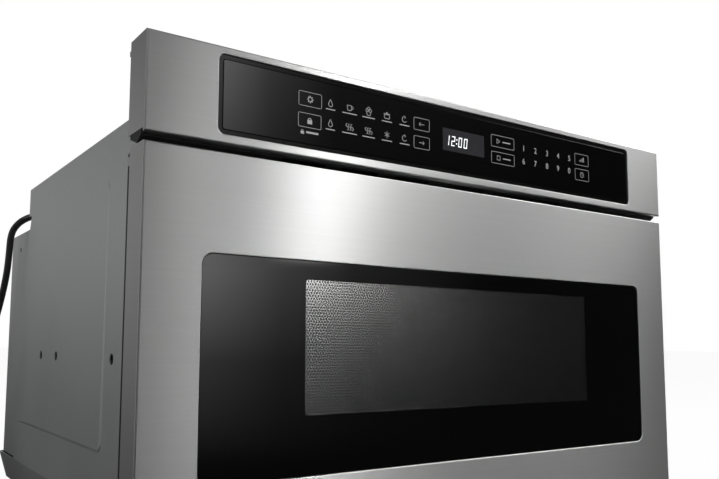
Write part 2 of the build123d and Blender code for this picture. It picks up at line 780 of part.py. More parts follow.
# ---- cavity and microwave parts --------------------------------------------
def oven_cavity():
    t = cavity_sheet
    half = mouth_width / 2
    shell = block(-half - t, half + t, frame_back, cavity_back + t, cavity_floor, cavity_top)
    shell = shell - block(-half, half, frame_back, cavity_back, mouth_low, mouth_high)
    shell = shell - rod_z(12, cavity_floor, mouth_low, 0, antenna_back)
    for column in range(5):
        for row in range(3):
            shell = shell - rod_x(2.2, -half - t, -half, 350 + column * 9, 205 + row * 9)
    lamp_window = Pos(lamp_x, front_y + lamp_back) * Circle(14)
    return shell - extrude(Plane.XY.offset(mouth_high) * lamp_window, t)


def lamp_socket():
    ring = rod_z(18, cavity_top, cavity_top + 12, lamp_x, lamp_back)
    ears = block(lamp_x - 28, lamp_x + 28, lamp_back - 7, lamp_back + 7, cavity_top, cavity_top + 1.5)
    cap = rod_z(13, cavity_top + 12, cavity_top + 34, lamp_x, lamp_back)
    socket = ring + ears + cap
    return socket - rod_z(11, cavity_top, cavity_top + 26, lamp_x, lamp_back)


def oven_lamp():
    glass = Pos(lamp_x, front_y + lamp_back, cavity_top + 9) * Sphere(8)
    base = rod_z(6.5, cavity_top + 9, cavity_top + 26, lamp_x, lamp_back)
    return glass + base


def waveguide():
    t = cavity_sheet
    duct = block(-guide_half, guide_half, antenna_back - 48, guide_end, guide_low, cavity_floor)
    duct = duct - block(-guide_half + t, guide_half - t, antenna_back - 48 + t, guide_end - t,
                        guide_low + t, cavity_floor - t)
    duct = duct - rod_z(12, cavity_floor - t, cavity_floor, 0, antenna_back)
    duct = duct - rod_z(antenna_shaft + 3, guide_low, guide_low + t, 0, antenna_back)
    return duct - rod_z(16, cavity_floor - t, cavity_floor, 0, magnetron_back)


def antenna():
    """Rotating aerial below the ceramic floor, on its plastic shaft."""
    low = mouth_low + 5
    disc = Circle(antenna_radius)
    for turn in (20, 140, 260):
        disc = disc - Rot(0, 0, turn) * (Pos(36, 0) * SlotOverall(44, 14))
    blade = Pos(0, front_y + antenna_back) * disc
    rotor = extrude(Plane.XY.offset(low) * blade, 1.5)
    hub = rod_z(8, low - 3, low, 0, antenna_back)
    shaft = rod_z(antenna_shaft, guide_low - 12, low, 0, antenna_back)
    return rotor + hub + shaft


def antenna_motor():
    can = rod_z(25, guide_low - 18, guide_low, 0, antenna_back)
    ears = block(-34, 34, antenna_back - 6, antenna_back + 6, guide_low - 1.5, guide_low)
    motor = can + ears
    return motor - rod_z(antenna_shaft + shaft_fit, guide_low - 12 - slide_gap, guide_low, 0, antenna_back)


def magnetron():
    """Yoke with cooling fins between its plates, and the filter box in front."""
    low = cavity_floor
    half = magnetron_half
    high = low + magnetron_high
    near, far = magnetron_back - 36, magnetron_back + 36
    yoke = block(-half, half, near, far, low, low + 2)
    yoke = yoke + block(-half, half, near, far, high - 2, high)
    yoke = yoke + block(-half, -half + 2, near, far, low, high)
    yoke = yoke + block(half - 2, half, near, far, low, high)
    anode = rod_z(20, low, high + 24, 0, magnetron_back)
    fins = None
    for level in range(8):
        z = low + 14 + level * 7
        fin = block(-half + 2, half - 2, near + 4, far - 4, z, z + 1)
        fins = fin if fins is None else fins + fin
    filter_box = block(-34, 34, near + 4, far - 4, high, high + 28)
    aerial = rod_z(11, guide_low + 12, low, 0, magnetron_back)
    return yoke + anode + fins + filter_box + aerial


def power_transformer():
    low = case_sheet
    near = transformer_back - transformer_length / 2
    far = transformer_back + transformer_length / 2
    left = transformer_x - transformer_width / 2
    right = transformer_x + transformer_width / 2
    core = block(left, right, near, far, low, low + transformer_height)
    window = block(left + 16, left + 16 + winding_limb, near, far, low + 16, low + 62)
    core = core - window - Pos(transformer_width - 32 - winding_limb, 0, 0) * window
    winding = block(left + 18, right - 18, near - winding_over, far + winding_over, low + 18, low + 60)
    winding = fillet(winding.edges().filter_by(Axis.Z), 12)
    feet = block(left - 12, right + 12, near + 6, far - 6, low, low + 2)
    return core + winding + feet


def hv_capacitor():
    high = case_sheet + capacitor_height
    can = RectangleRounded(capacitor_width, capacitor_deep, capacitor_deep / 2 - 0.5)
    body = standing(Pos(capacitor_x, capacitor_back) * can, case_sheet, high)
    for shift in (-12.5, 12.5):
        x = capacitor_x + shift
        body = body + block(x - 3.5, x + 3.5, capacitor_back - 4, capacitor_back + 4, high, high + lug_height)
    return body


def hv_diode():
    """Rectifier across the capacitor's lug, its ring end screwed to the pan."""
    near = capacitor_x + capacitor_width / 2
    body = rod_x(4, near + 3, near + 23, capacitor_back, case_sheet + 4.4)
    lead = block(near, near + 27, capacitor_back - 1.5, capacitor_back + 1.5, case_sheet, case_sheet + 2)
    ring = rod_z(7, case_sheet, case_sheet + 2, near + 31, capacitor_back)
    return body + lead + ring


def fan_shroud():
    far = rear_face - case_sheet
    frame = facing(rect(2 * fan_half, 2 * fan_half, fan_x, fan_z, 6), fan_near, far)
    frame = frame - rod_y(fan_bore, fan_near, far, fan_x, fan_z)
    arms = None
    for turn in (30, 150, 270):
        arm = Pos(fan_x, fan_z) * (Rot(0, 0, turn) * (Pos(fan_bore / 2 + 4, 0) * Rectangle(fan_bore, 7)))
        arm = facing(arm, fan_near, fan_near + 3)
        arms = arm if arms is None else arms + arm
    disc = rod_y(20, fan_near, fan_near + 3, fan_x, fan_z)
    arms = (arms + disc) - rod_y(4.5, fan_near, fan_near + 3, fan_x, fan_z)
    return frame + arms


def fan_motor():
    stack = facing(rect(60, 46, fan_x, fan_z, 3), fan_near - 24, fan_near - 6)
    cap = rod_y(15, fan_near - 34, fan_near - 24, fan_x, fan_z)
    nose = rod_y(12, fan_near - 6, fan_near, fan_x, fan_z)
    motor = stack + cap + nose
    return motor - rod_y(fan_shaft + shaft_fit, fan_near - fan_shaft_depth, fan_near, fan_x, fan_z)


def fan_blade():
    near = fan_near + 8
    hub = rod_y(fan_hub, near, near + 20, fan_x, fan_z)
    shaft = rod_y(fan_shaft, fan_near - fan_shaft_depth + slide_gap, near, fan_x, fan_z)
    wheel = hub + shaft
    centre = Pos(fan_x, front_y + near + 10, fan_z)
    for number in range(5):
        root = Plane(origin=(12, 0, 0), x_dir=(0, 1, 0), z_dir=(1, 0, 0)).rotated((38, 0, 0))
        tip = Plane(origin=(fan_tip, 0, 0), x_dir=(0, 1, 0), z_dir=(1, 0, 0)).rotated((22, 0, 0))
        blade = loft([root * Rectangle(1.8, 22), tip * Rectangle(1.4, 40)])
        wheel = wheel + centre * (Rot(0, number * 72, 0) * blade)
    return wheel


def noise_filter():
    """Mains filter board on the back panel, beside the cord's entry."""
    panel = upper_back - case_sheet
    board_back = panel - 6
    board_face = board_back - board_sheet
    x, z = cord_exit_x + 57.5, cord_exit_z + 4
    board = facing(rect(70, 30, x, z), board_face, board_back)
    posts = rod_y(2.5, board_back, panel, x - 29, z + 8) + rod_y(2.5, board_back, panel, x + 29, z - 8)
    choke = rod_y(9, panel - 22, board_face, x - 10, z) - rod_y(4, panel - 22, board_face - 1, x - 10, z)
    return board + posts + choke + facing(rect(14, 18, x + 17, z), panel - 18, board_face)


def exhaust_duct():
    """Sheet duct that leads the cooling air to the slots behind the vent."""
    t = cavity_sheet
    left, right = vent_spans[0][0] - 6, vent_spans[-1][1] + 6
    high = vent_slot_high + 8
    mouth = rect(right - left, high - cavity_top, (left + right) / 2, (high + cavity_top) / 2)
    bore = rect(right - left - 2 * t, high - cavity_top - 2 * t, (left + right) / 2, (high + cavity_top) / 2)
    return facing(mouth, frame_back, duct_end) - facing(bore, frame_back, duct_end)


# ---- control panel inside ---------------------------------------------------
def touch_outline(shrink, corner):
    """Outline of the panel's opening, or of what lies in it."""
    return rect(touch_width - 2 * shrink, touch_height - 2 * shrink, 0, touch_mid, corner)


def panel_bezel():
    """Black moulding behind the steel: it shows as a ring round the glass."""
    rear = touch_glass_back + bezel_back
    ring_in = touch_outline(bezel_face, 2)
    behind = rect(touch_width + 12, touch_height + 3, 0, touch_mid, 6)
    window = rect(display_width + display_margin, display_height + display_margin, display_x, display_z)
    ring = facing(touch_outline(seat_gap, touch_corner - seat_gap) - ring_in, glass_recess + 0.4, lip_depth)
    bezel = ring + facing(behind - window, touch_glass_back, rear) + facing(behind - ring_in, lip_depth, rear)
    for x in (-180, -60, 80, 190):
        bezel = bezel + rod_y(4, rear, board_depth, x, touch_mid)
    return bezel


def touch_glass():
    pane = facing(touch_outline(bezel_face + seat_gap, 2), glass_recess, touch_glass_back)
    return chamfer(front_edges(pane, glass_recess), glass_edge)


def display_module():
    return facing(rect(display_width, display_height, display_x, display_z), touch_glass_back, board_depth)


def control_board():
    rear = board_depth + board_sheet
    board = facing(rect(board_width, board_height, board_x, touch_mid), board_depth, rear)
    for x, width, height, depth in board_parts:
        board = board + facing(rect(width, height, x, touch_mid), rear, rear + depth)
    return board


# ---- fasteners -------------------------------------------------------------
def case_screws():
    screws = []
    for side in (-1, 1):
        for z in (70, cover_top - 27):
            screws.append(rear_screw(side * (cover_width / 2 - 30.6), z, rear_face))
        screws.append(rear_screw(side * (case_width / 2 - 75), cover_top + 28, upper_back))
    return Compound(children=screws)


def drawer_screws():
    screws = []
    at = door_return + slide_sheet
    x = inner_case - 2 * slide_step + slide_tab / 2
    for side in (-1, 1):
        for z in (slide_mid_z - 11, slide_mid_z + 11):
            screws.append(rod_y(4.0, at, at + 0.8, side * x, z) + rod_y(3.0, at + 0.8, at + 2.6, side * x, z))
    return Compound(children=screws)


# ---- mains cord ------------------------------------------------------------
# the free stretch, point by point: X outside the case wall, depth behind the rear panel, Z
coil_low_z = coil_lift + cord / 2
coil_top_z = coil_low_z + coil_layer_step
coil_outer = coil_inner + coil_half_turns_in * coil_turn_step / 2
coil_start = (39.0, 3.0, coil_top_z)
cord_route = [
    (-12.5, boot_length, cord_exit_z),
    (-12.5, 37.5, cord_exit_z),
    (-7.0, 51.0, cord_exit_z - 1.5),
    (1.5, 59.0, cord_exit_z - 8.0),
    (8.5, 64.0, cord_exit_z - 21.0),
    (9.0, 66.0, cord_exit_z - 47.0),
    (10.5, 67.5, cord_exit_z - 75.0),
    (15.0, 75.0, cord_exit_z - 110.0),
    (22.0, 89.0, 185.0),
    (29.0, 100.0, 141.0),
    (35.0, 96.0, 98.0),
    (39.0, 83.0, 60.0),
    (39.5, 61.0, 30.0),
    (39.0, 33.0, coil_top_z),
    coil_start,
]


def placed(point):
    out, back, z = point
    return Vector(-case_width / 2 - out, front_y + upper_back + back, z)


def corner_radii(points):
    radii = []
    for before, corner, after in zip(points, points[1:], points[2:]):
        run_in, run_out = corner - before, after - corner
        half_turn = math.radians(run_in.get_angle(run_out)) / 2
        radii.append(0.45 * min(run_in.length, run_out.length) / math.tan(half_turn))
    return radii


def tube(path):
    return sweep(Plane(path @ 0, z_dir=path % 0) * Circle(cord / 2), path=path)


def report_tube(name, solid, path):
    expected = math.pi * cord ** 2 / 4 * path.length
    print(f"{name}: length {path.length:.0f}, volume / (section x length) {solid.volume / expected:.4f}")


def power_cord():
    points = [placed(p) for p in cord_route]
    radii = corner_radii(points)
    print("cord radii:", [round(r) for r in radii])
    path = FilletPolyline(*points, radius=radii)
    solid = tube(path)
    report_tube("power_cord", solid, path)
    return solid


def coil_nodes():
    """Ends of the half turns: in on the upper layer, down, out on the lower one."""
    steps = coil_half_turns_in
    radii = [coil_outer - coil_turn_step / 2 * k for k in range(steps + 1)]
    radii += reversed(radii)
    nodes = []
    for k, radius in enumerate(radii):
        side = 1 if k % 2 == 0 else -1
        z = coil_top_z if k <= steps else coil_low_z
        point = placed((coil_start[0] + coil_outer - side * radius, coil_start[1], z))
        nodes.append((point, Vector(0, -side, 0)))
    return nodes


def biarc(start, start_way, end, end_way):
    """Two arcs that leave and arrive in the given directions."""
    reach = (end - start).length / 2
    joint = (start + end) * 0.5 + (start_way - end_way) * (reach / 2)
    first = Edge.make_tangent_arc(start, start_way, joint)
    second = Edge.make_tangent_arc(end, end_way * -1, joint)
    return [first, second]


def coil_path():
    nodes = coil_nodes()
    edges = []
    for (start, way_in), (end, way_out) in zip(nodes, nodes[1:]):
        edges += biarc(start, way_in, end, way_out)
    last = nodes[-1][0]
    rise = plug_axis_z - coil_low_z
    tail = [last, last + Vector(0, 16, 0), last + Vector(0, tail_run, rise),
            last + Vector(0, tail_run + 14, rise)]
    edges += FilletPolyline(*tail, radius=corner_radii(tail)).edges()
    return Wire(edges), tail[-1]


def least_gap(path):
    """Smallest clearance of the wound tube to itself, measured on points."""
    count = 700
    points = [path @ (k / count) for k in range(count + 1)]
    skip = int(3 * cord / path.length * count)
    least = 1e9
    for i in range(0, count + 1):
        for j in range(i + skip, count + 1):
            least = min(least, (points[i] - points[j]).length)
    return least - cord


def power_cord_coil():
    path, _ = coil_path()
    solid = tube(path)
    report_tube("power_cord_coil", solid, path)
    print("coil's least gap to itself:", round(least_gap(path), 2))
    return solid


def cord_tie():
    """Strap round the bundle on the side nearest the front."""
    strap = 1.0
    side = upper_back + coil_start[1] - (coil_inner + coil_outer) / 2
    middle = -case_width / 2 - coil_start[0] - coil_outer
    width = coil_outer - coil_inner + coil_turn_step / 2 + cord + 4
    height = coil_layer_step + cord + 2 * seat_gap
    mid = (coil_low_z + coil_top_z) / 2
    inner = Pos(side, mid) * RectangleRounded(width, height, 3)
    outer = Pos(side, mid) * RectangleRounded(width + 2 * strap, height + 2 * strap, 4)
    return sideways(outer - inner, middle - 6, middle + 6)


def cord_bushing():
    """Strain relief: a ribbed, tapering boot clamped in the back panel."""
    base = upper_back - case_sheet
    boot_end = upper_back + boot_length
    bore = cord / 2
    profile = [(0, base - 8), (9, base - 8), (9, base), (bore + 3, base), (bore + 3, upper_back),
               (9.5, upper_back), (9.5, upper_back + 3), (bore + 3, upper_back + 3),
               (bore + 1.3, boot_end), (0, boot_end)]
    half = Plane(origin=(cord_exit_x, front_y, cord_exit_z), x_dir=(1, 0, 0), z_dir=(0, 0, 1))
    boot = revolve(half * polygon(*profile), Axis((cord_exit_x, 0, cord_exit_z), (0, 1, 0)), 360)
    for ring in range(4):
        depth = upper_back + 6 + ring * 4.2
        groove = rod_y(12, depth, depth + 1.4, cord_exit_x, cord_exit_z)
        boot = boot - (groove - rod_y(bore + 1.0, depth, depth + 1.4, cord_exit_x, cord_exit_z))
    return boot


def power_plug():
    """Three-pin moulded plug lying on the floor, its tapered relief towards the coil."""
    _, end = coil_path()
    x, depth, z = end.X, end.Y - front_y, end.Z
    body_near = depth + 26
    face = body_near + 30
    cone = Solid.make_cone(cord / 2 + 1.2, 8.5, 26, Plane(origin=(x, end.Y, z), z_dir=(0, 1, 0)))
    body = facing(rect(28, 26, x, z, 6), body_near, face)
    body = fillet(front_edges(body, body_near), 5)
    for side in (-1, 1):
        blade = x + side * 6.35
        body = body + block(blade - 0.75, blade + 0.75, face, face + 17, z + 1, z + 7.3)
    return body + cone + rod_y(2.4, face, face + 20, x, z - 7.5)


# ---- writing the sub-parts -------------------------------------------------
nodes = {
    "base_pan": base_pan(),
    "side_wall_left": side_wall(-1),
    "side_wall_right": side_wall(1),
    "top_cover": top_cover(),
    "upper_rear_panel": upper_rear_panel(),
    "rear_cover": rear_cover(),
    "front_frame": front_frame(),
    "oven_cavity": oven_cavity(),
    "waveguide": waveguide(),
    "magnetron": magnetron(),
    "power_transformer": power_transformer(),
    "hv_capacitor": hv_capacitor(),
    "hv_diode": hv_diode(),
    "noise_filter": noise_filter(),
    "fan_shroud": fan_shroud(),
    "fan_motor": fan_motor(),
    "fan_blade": fan_blade(),
    "antenna": antenna(),
    "antenna_motor": antenna_motor(),
    "lamp_socket": lamp_socket(),
    "oven_lamp": oven_lamp(),
    "exhaust_duct": exhaust_duct(),
    "control_panel_frame": control_panel_frame(),
    "panel_bezel": panel_bezel(),
    "touch_glass": touch_glass(),
    "display_module": display_module(),
    "control_board": control_board(),
    "vent_grille": vent_grille(),
    "drive_bracket": drive_bracket(),
    "drive_motor": drive_motor(),
    "drive_pinion": drive_pinion(),
    "rack_gear": rack_gear(),
    "rack_guides": rack_guides(),
    "rail_outer_left": rail_outer(-1),
    "rail_outer_right": rail_outer(1),
    "rail_middle_left": rail_middle(-1),
    "rail_middle_right": rail_middle(1),
    "rail_inner_left": rail_inner(-1),
    "rail_inner_right": rail_inner(1),
    "interlock_switches": interlock_switches(),
    "latch_hooks": latch_hooks(),
    "drawer_front_skin": drawer_front_skin(),
    "window_glass": window_glass(),
    "choke_frame": choke_frame(),
    "choke_cover": choke_cover(),
    "door_screen": door_screen(),
    "inner_window": inner_window(),
    "drawer_box": drawer_box(),
    "drawer_floor": drawer_floor(),
    "drawer_screws": drawer_screws(),
    "case_screws": case_screws(),
    "cord_bushing": cord_bushing(),
    "power_cord": power_cord(),
    "power_cord_coil": power_cord_coil(),
    "cord_tie": cord_tie(),
    "power_plug": power_plug(),
}

for name, shape in nodes.items():
    export_step(shape, f"parts/{name}.step")
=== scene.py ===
import math

import bmesh
import bpy
from mathutils import Matrix, Vector


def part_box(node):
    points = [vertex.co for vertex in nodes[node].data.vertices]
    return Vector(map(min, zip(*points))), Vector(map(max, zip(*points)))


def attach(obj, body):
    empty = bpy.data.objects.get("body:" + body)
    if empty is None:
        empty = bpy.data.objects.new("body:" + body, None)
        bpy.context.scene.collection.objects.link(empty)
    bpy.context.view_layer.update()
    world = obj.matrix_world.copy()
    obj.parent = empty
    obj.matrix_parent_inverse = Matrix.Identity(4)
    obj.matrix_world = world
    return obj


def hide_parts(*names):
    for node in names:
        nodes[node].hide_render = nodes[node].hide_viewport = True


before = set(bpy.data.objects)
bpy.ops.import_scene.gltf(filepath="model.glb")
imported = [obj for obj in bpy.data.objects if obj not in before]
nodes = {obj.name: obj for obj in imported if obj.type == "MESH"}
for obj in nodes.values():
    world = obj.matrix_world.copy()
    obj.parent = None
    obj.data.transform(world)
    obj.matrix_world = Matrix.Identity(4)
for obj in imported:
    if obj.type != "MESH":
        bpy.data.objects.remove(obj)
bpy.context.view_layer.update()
MM = 0.001

# ---- sizes shared with the model, in metres ----------------------------------
FRONT_Y = -0.29525
TOP_Z = 0.3969
CORD = 0.0085

# ---- sizes of the window, in metres ------------------------------------------
GLASS_CORNER = 0.0082
# see-through middle of the window: X, Z, width, height, corner
VIEW = (0.0, 0.1742, 0.3384, 0.1043, 0.003)
PANE_THICK = 0.0006
SCREEN_GAP = 0.0001
EDGE_GAP = 0.00004

# ---- the photograph's frame, in pixels ---------------------------------------
IMAGE_WIDE = 719.0
IMAGE_TALL = 479.0
FOCAL_LENGTH = 753.496
PICTURE_MIDDLE = (323.517, 269.133)
SENSOR_WIDE = 36.0


# ---- shader node groups --------------------------------------------------------
def new_group(name, inputs, outputs):
    """An empty node group; inputs are (name, kind, default)."""
    tree = bpy.data.node_groups.new(name, "ShaderNodeTree")
    for label, kind, default in inputs:
        socket = tree.interface.new_socket(label, in_out="INPUT", socket_type=kind)
        if default is not None:
            socket.default_value = default
    for label, kind in outputs:
        tree.interface.new_socket(label, in_out="OUTPUT", socket_type=kind)
    enter = tree.nodes.new("NodeGroupInput")
    leave = tree.nodes.new("NodeGroupOutput")
    return tree, enter, leave


def add(tree, kind, **settings):
    """A new node with its settings."""
    node = tree.nodes.new(kind)
    for key, value in settings.items():
        setattr(node, key, value)
    return node


def wire(tree, source, target):
    tree.links.new(source, target)


def maths(tree, operation, first, second=None, third=None):
    """A Math node; each operand is a socket or a number."""
    node = add(tree, "ShaderNodeMath", operation=operation)
    for index, operand in enumerate((first, second, third)):
        if operand is None:
            continue
        if isinstance(operand, (int, float)):
            node.inputs[index].default_value = operand
        else:
            wire(tree, operand, node.inputs[index])
    return node.outputs[0]


def stretched(tree, vector, scale):
    """The position vector scaled along each axis."""
    node = add(tree, "ShaderNodeVectorMath", operation="MULTIPLY")
    wire(tree, vector, node.inputs[0])
    node.inputs[1].default_value = scale
    return node.outputs[0]


def noise(tree, vector, scale, detail=2.0, roughness=0.5):
    """The level of a noise texture."""
    node = add(tree, "ShaderNodeTexNoise")
    wire(tree, vector, node.inputs["Vector"])
    node.inputs["Scale"].default_value = scale
    node.inputs["Detail"].default_value = detail
    node.inputs["Roughness"].default_value = roughness
    return node.outputs["Fac"]


def spread(tree, value, low, high, to_low=0.0, to_high=1.0):
    """Map Range on a socket."""
    node = add(tree, "ShaderNodeMapRange")
    wire(tree, value, node.inputs["Value"])
    for label, number in (("From Min", low), ("From Max", high), ("To Min", to_low), ("To Max", to_high)):
        node.inputs[label].default_value = number
    return node.outputs["Result"]


def build_brushed_grain():
    """Fine horizontal hairlines with a slow change of tone across the sheet."""
    tree, enter, leave = new_group(
        "brushed_grain", [("Vector", "NodeSocketVector", None)],
        [("Grain", "NodeSocketFloat"), ("Patches", "NodeSocketFloat")])
    position = enter.outputs["Vector"]
    fine = noise(tree, stretched(tree, position, (9.0, 9.0, 2600.0)), 1.0, 3.0, 0.65)
    coarse = noise(tree, stretched(tree, position, (3.0, 3.0, 420.0)), 1.0, 2.0, 0.5)
    mixed = maths(tree, "ADD", maths(tree, "MULTIPLY", fine, 0.65), maths(tree, "MULTIPLY", coarse, 0.35))
    wire(tree, mixed, leave.inputs["Grain"])
    wire(tree, noise(tree, position, 7.0, 3.0, 0.55), leave.inputs["Patches"])
    return tree


def build_surface_tone():
    """Tone, height and soil of a plain moulded, painted or plated surface."""
    tree, enter, leave = new_group(
        "surface_tone",
        [("Vector", "NodeSocketVector", None), ("Grain Scale", "NodeSocketFloat", 400.0),
         ("Cloud Scale", "NodeSocketFloat", 9.0)],
        [("Tone", "NodeSocketFloat"), ("Height", "NodeSocketFloat"), ("Soil", "NodeSocketFloat")])
    position = enter.outputs["Vector"]
    cloud = add(tree, "ShaderNodeTexNoise")
    wire(tree, position, cloud.inputs["Vector"])
    wire(tree, enter.outputs["Cloud Scale"], cloud.inputs["Scale"])
    cloud.inputs["Detail"].default_value = 4.0
    grain = add(tree, "ShaderNodeTexNoise")
    wire(tree, position, grain.inputs["Vector"])
    wire(tree, enter.outputs["Grain Scale"], grain.inputs["Scale"])
    grain.inputs["Detail"].default_value = 2.0
    tone = maths(tree, "ADD", maths(tree, "MULTIPLY", cloud.outputs["Fac"], 0.7),
                 maths(tree, "MULTIPLY", grain.outputs["Fac"], 0.3))
    wire(tree, tone, leave.inputs["Tone"])
    wire(tree, grain.outputs["Fac"], leave.inputs["Height"])
    wire(tree, spread(tree, cloud.outputs["Fac"], 0.45, 0.72), leave.inputs["Soil"])
    return tree


def build_perforation():
    """Staggered round holes in the X-Z plane: 1 in a hole, 0 on the metal."""
    tree, enter, leave = new_group(
        "perforation",
        [("Vector", "NodeSocketVector", None), ("Pitch", "NodeSocketFloat", 0.002),
         ("Radius", "NodeSocketFloat", 0.0006)],
        [("Hole", "NodeSocketFloat")])
    split = add(tree, "ShaderNodeSeparateXYZ")
    wire(tree, enter.outputs["Vector"], split.inputs[0])
    pitch = enter.outputs["Pitch"]
    row_pitch = maths(tree, "MULTIPLY", pitch, math.sqrt(3.0))
    masks = []
    for shift in (0.0, 0.5):
        across = maths(tree, "ADD", maths(tree, "DIVIDE", split.outputs["X"], pitch), shift)
        along = maths(tree, "ADD", maths(tree, "DIVIDE", split.outputs["Z"], row_pitch), shift)
        x = maths(tree, "MULTIPLY", maths(tree, "SUBTRACT", maths(tree, "FRACT", across), 0.5), pitch)
        z = maths(tree, "MULTIPLY", maths(tree, "SUBTRACT", maths(tree, "FRACT", along), 0.5), row_pitch)
        far = maths(tree, "SQRT", maths(tree, "ADD", maths(tree, "MULTIPLY", x, x),
                                        maths(tree, "MULTIPLY", z, z)))
        masks.append(maths(tree, "LESS_THAN", far, enter.outputs["Radius"]))
    wire(tree, maths(tree, "MAXIMUM", masks[0], masks[1]), leave.inputs["Hole"])
    return tree


BRUSHED_GRAIN = build_brushed_grain()
SURFACE_TONE = build_surface_tone()
PERFORATION = build_perforation()


# ---- materials -----------------------------------------------------------------
def new_material(name, metallic=0.0, roughness=0.5, ior=1.5):
    """A material with its Principled shader and object coordinates."""
    material = bpy.data.materials.new(name)
    material.use_nodes = True
    tree = material.node_tree
    shader = tree.nodes["Principled BSDF"]
    shader.inputs["Metallic"].default_value = metallic
    shader.inputs["Roughness"].default_value = roughness
    shader.inputs["IOR"].default_value = ior
    place = add(tree, "ShaderNodeTexCoord").outputs["Object"]
    return material, tree, shader, place


def placed_group(tree, group, vector, **values):
    """A node group in a material with its own values."""
    node = add(tree, "ShaderNodeGroup", node_tree=group)
    wire(tree, vector, node.inputs["Vector"])
    for label, value in values.items():
        node.inputs[label.replace("_", " ")].default_value = value
    return node


def two_tone(tree, mask, low, high):
    """Mix of two colours by a mask."""
    node = add(tree, "ShaderNodeMix", data_type="RGBA")
    node.inputs["A"].default_value = (*low, 1.0)
    node.inputs["B"].default_value = (*high, 1.0)
    wire(tree, mask, node.inputs["Factor"])
    return node.outputs["Result"]


def bump(tree, shader, height, strength, distance):
    """Fine relief on the shader's normal."""
    node = add(tree, "ShaderNodeBump")
    node.inputs["Strength"].default_value = strength
    node.inputs["Distance"].default_value = distance
    wire(tree, height, node.inputs["Height"])
    wire(tree, node.outputs["Normal"], shader.inputs["Normal"])


def plain_finish(name, low, high, metallic, rough, grain=400.0, cloud=9.0, height=0.00004, strength=0.3,
                 specular=0.5):
    """Moulded, painted, plated or cast finish: two tones, clean and soiled roughness, fine grain."""
    material, tree, shader, place = new_material(name, metallic, rough[0])
    shader.inputs["Specular IOR Level"].default_value = specular
    tone = placed_group(tree, SURFACE_TONE, place, Grain_Scale=grain, Cloud_Scale=cloud)
    wire(tree, two_tone(tree, spread(tree, tone.outputs["Tone"], 0.3, 0.7), low, high),
         shader.inputs["Base Color"])
    wire(tree, spread(tree, tone.outputs["Soil"], 0.0, 1.0, *rough), shader.inputs["Roughness"])
    bump(tree, shader, tone.outputs["Height"], strength, height)
    return material


def make_brushed_stainless():
    material, tree, shader, place = new_material("brushed_stainless", 1.0, 0.35)
    shader.inputs["Anisotropic"].default_value = 1.0
    shader.inputs["Anisotropic Rotation"].default_value = 0.25
    grain = placed_group(tree, BRUSHED_GRAIN, place)
    wire(tree, two_tone(tree, spread(tree, grain.outputs["Grain"], 0.35, 0.65),
                        (0.60, 0.60, 0.597), (0.63, 0.63, 0.627)), shader.inputs["Base Color"])
    wire(tree, spread(tree, grain.outputs["Patches"], 0.3, 0.7, 0.34, 0.36), shader.inputs["Roughness"])
    bump(tree, shader, grain.outputs["Grain"], 0.03, 0.00001)
    return material


def make_perforated_screen():
    material, tree, shader, place = new_material("perforated_screen", 1.0, 0.19)
    holes = placed_group(tree, PERFORATION, place, Pitch=0.0026, Radius=0.0008)
    tone = placed_group(tree, SURFACE_TONE, place, Grain_Scale=300.0, Cloud_Scale=12.0)
    metal = two_tone(tree, tone.outputs["Tone"], (0.44, 0.44, 0.44), (0.49, 0.49, 0.49))
    mix = add(tree, "ShaderNodeMix", data_type="RGBA")
    wire(tree, holes.outputs["Hole"], mix.inputs["Factor"])
    wire(tree, metal, mix.inputs["A"])
    # painted shade: the holes are not cut through; they take a flat dark grey that stands for the dim space
    # seen through them
    mix.inputs["B"].default_value = (0.14, 0.14, 0.14, 1.0)
    wire(tree, mix.outputs["Result"], shader.inputs["Base Color"])
    bump(tree, shader, maths(tree, "SUBTRACT", 1.0, holes.outputs["Hole"]), 0.12, 0.0002)
    return material


def make_glass_print():
    """Black glass: gloss with a trace of wipe marks."""
    material, tree, shader, place = new_material("black_glass", 0.0, 0.04, 1.5)
    marks = noise(tree, stretched(tree, place, (6.0, 6.0, 22.0)), 1.0, 4.0, 0.6)
    wire(tree, two_tone(tree, marks, (0.0014, 0.0014, 0.0015), (0.0022, 0.0022, 0.0023)),
         shader.inputs["Base Color"])
    wire(tree, spread(tree, marks, 0.35, 0.8, 0.03, 0.08), shader.inputs["Roughness"])
    return material


def make_view_pane():
    """Grey tinted middle of the window: it lets the screen behind show."""
    material, tree, shader, place = new_material("tinted_glass", 0.0, 0.03, 1.5)
    marks = noise(tree, stretched(tree, place, (6.0, 6.0, 22.0)), 1.0, 4.0, 0.6)
    wire(tree, two_tone(tree, marks, (0.004, 0.004, 0.004), (0.006, 0.006, 0.006)),
         shader.inputs["Base Color"])
    wire(tree, spread(tree, marks, 0.3, 0.8, 0.05, 0.07), shader.inputs["Alpha"])
    wire(tree, spread(tree, marks, 0.35, 0.8, 0.03, 0.06), shader.inputs["Roughness"])
    return material


def make_clear_glass(name, tint, roughness):
    material, tree, shader, place = new_material(name, 0.0, roughness, 1.45)
    marks = noise(tree, place, 30.0, 3.0)
    wire(tree, two_tone(tree, marks, tint, tuple(min(1.0, c * 1.05) for c in tint)),
         shader.inputs["Base Color"])
    wire(tree, spread(tree, marks, 0.4, 0.8, roughness, roughness + 0.04), shader.inputs["Roughness"])
    shader.inputs["Transmission Weight"].default_value = 0.92
    return material


def make_print(name, colour, glow):
    """Printed or lit marks on the touch glass."""
    material, tree, shader, place = new_material(name, 0.0, 0.45)
    speck = noise(tree, place, 900.0, 2.0)
    paint = two_tone(tree, speck, tuple(c * 0.9 for c in colour), colour)
    wire(tree, paint, shader.inputs["Base Color"])
    if glow:
        wire(tree, paint, shader.inputs["Emission Color"])
        shader.inputs["Emission Strength"].default_value = glow
    return material


CORE_MIDDLE_Y = 0.23675
CORE_HALF = 0.0402


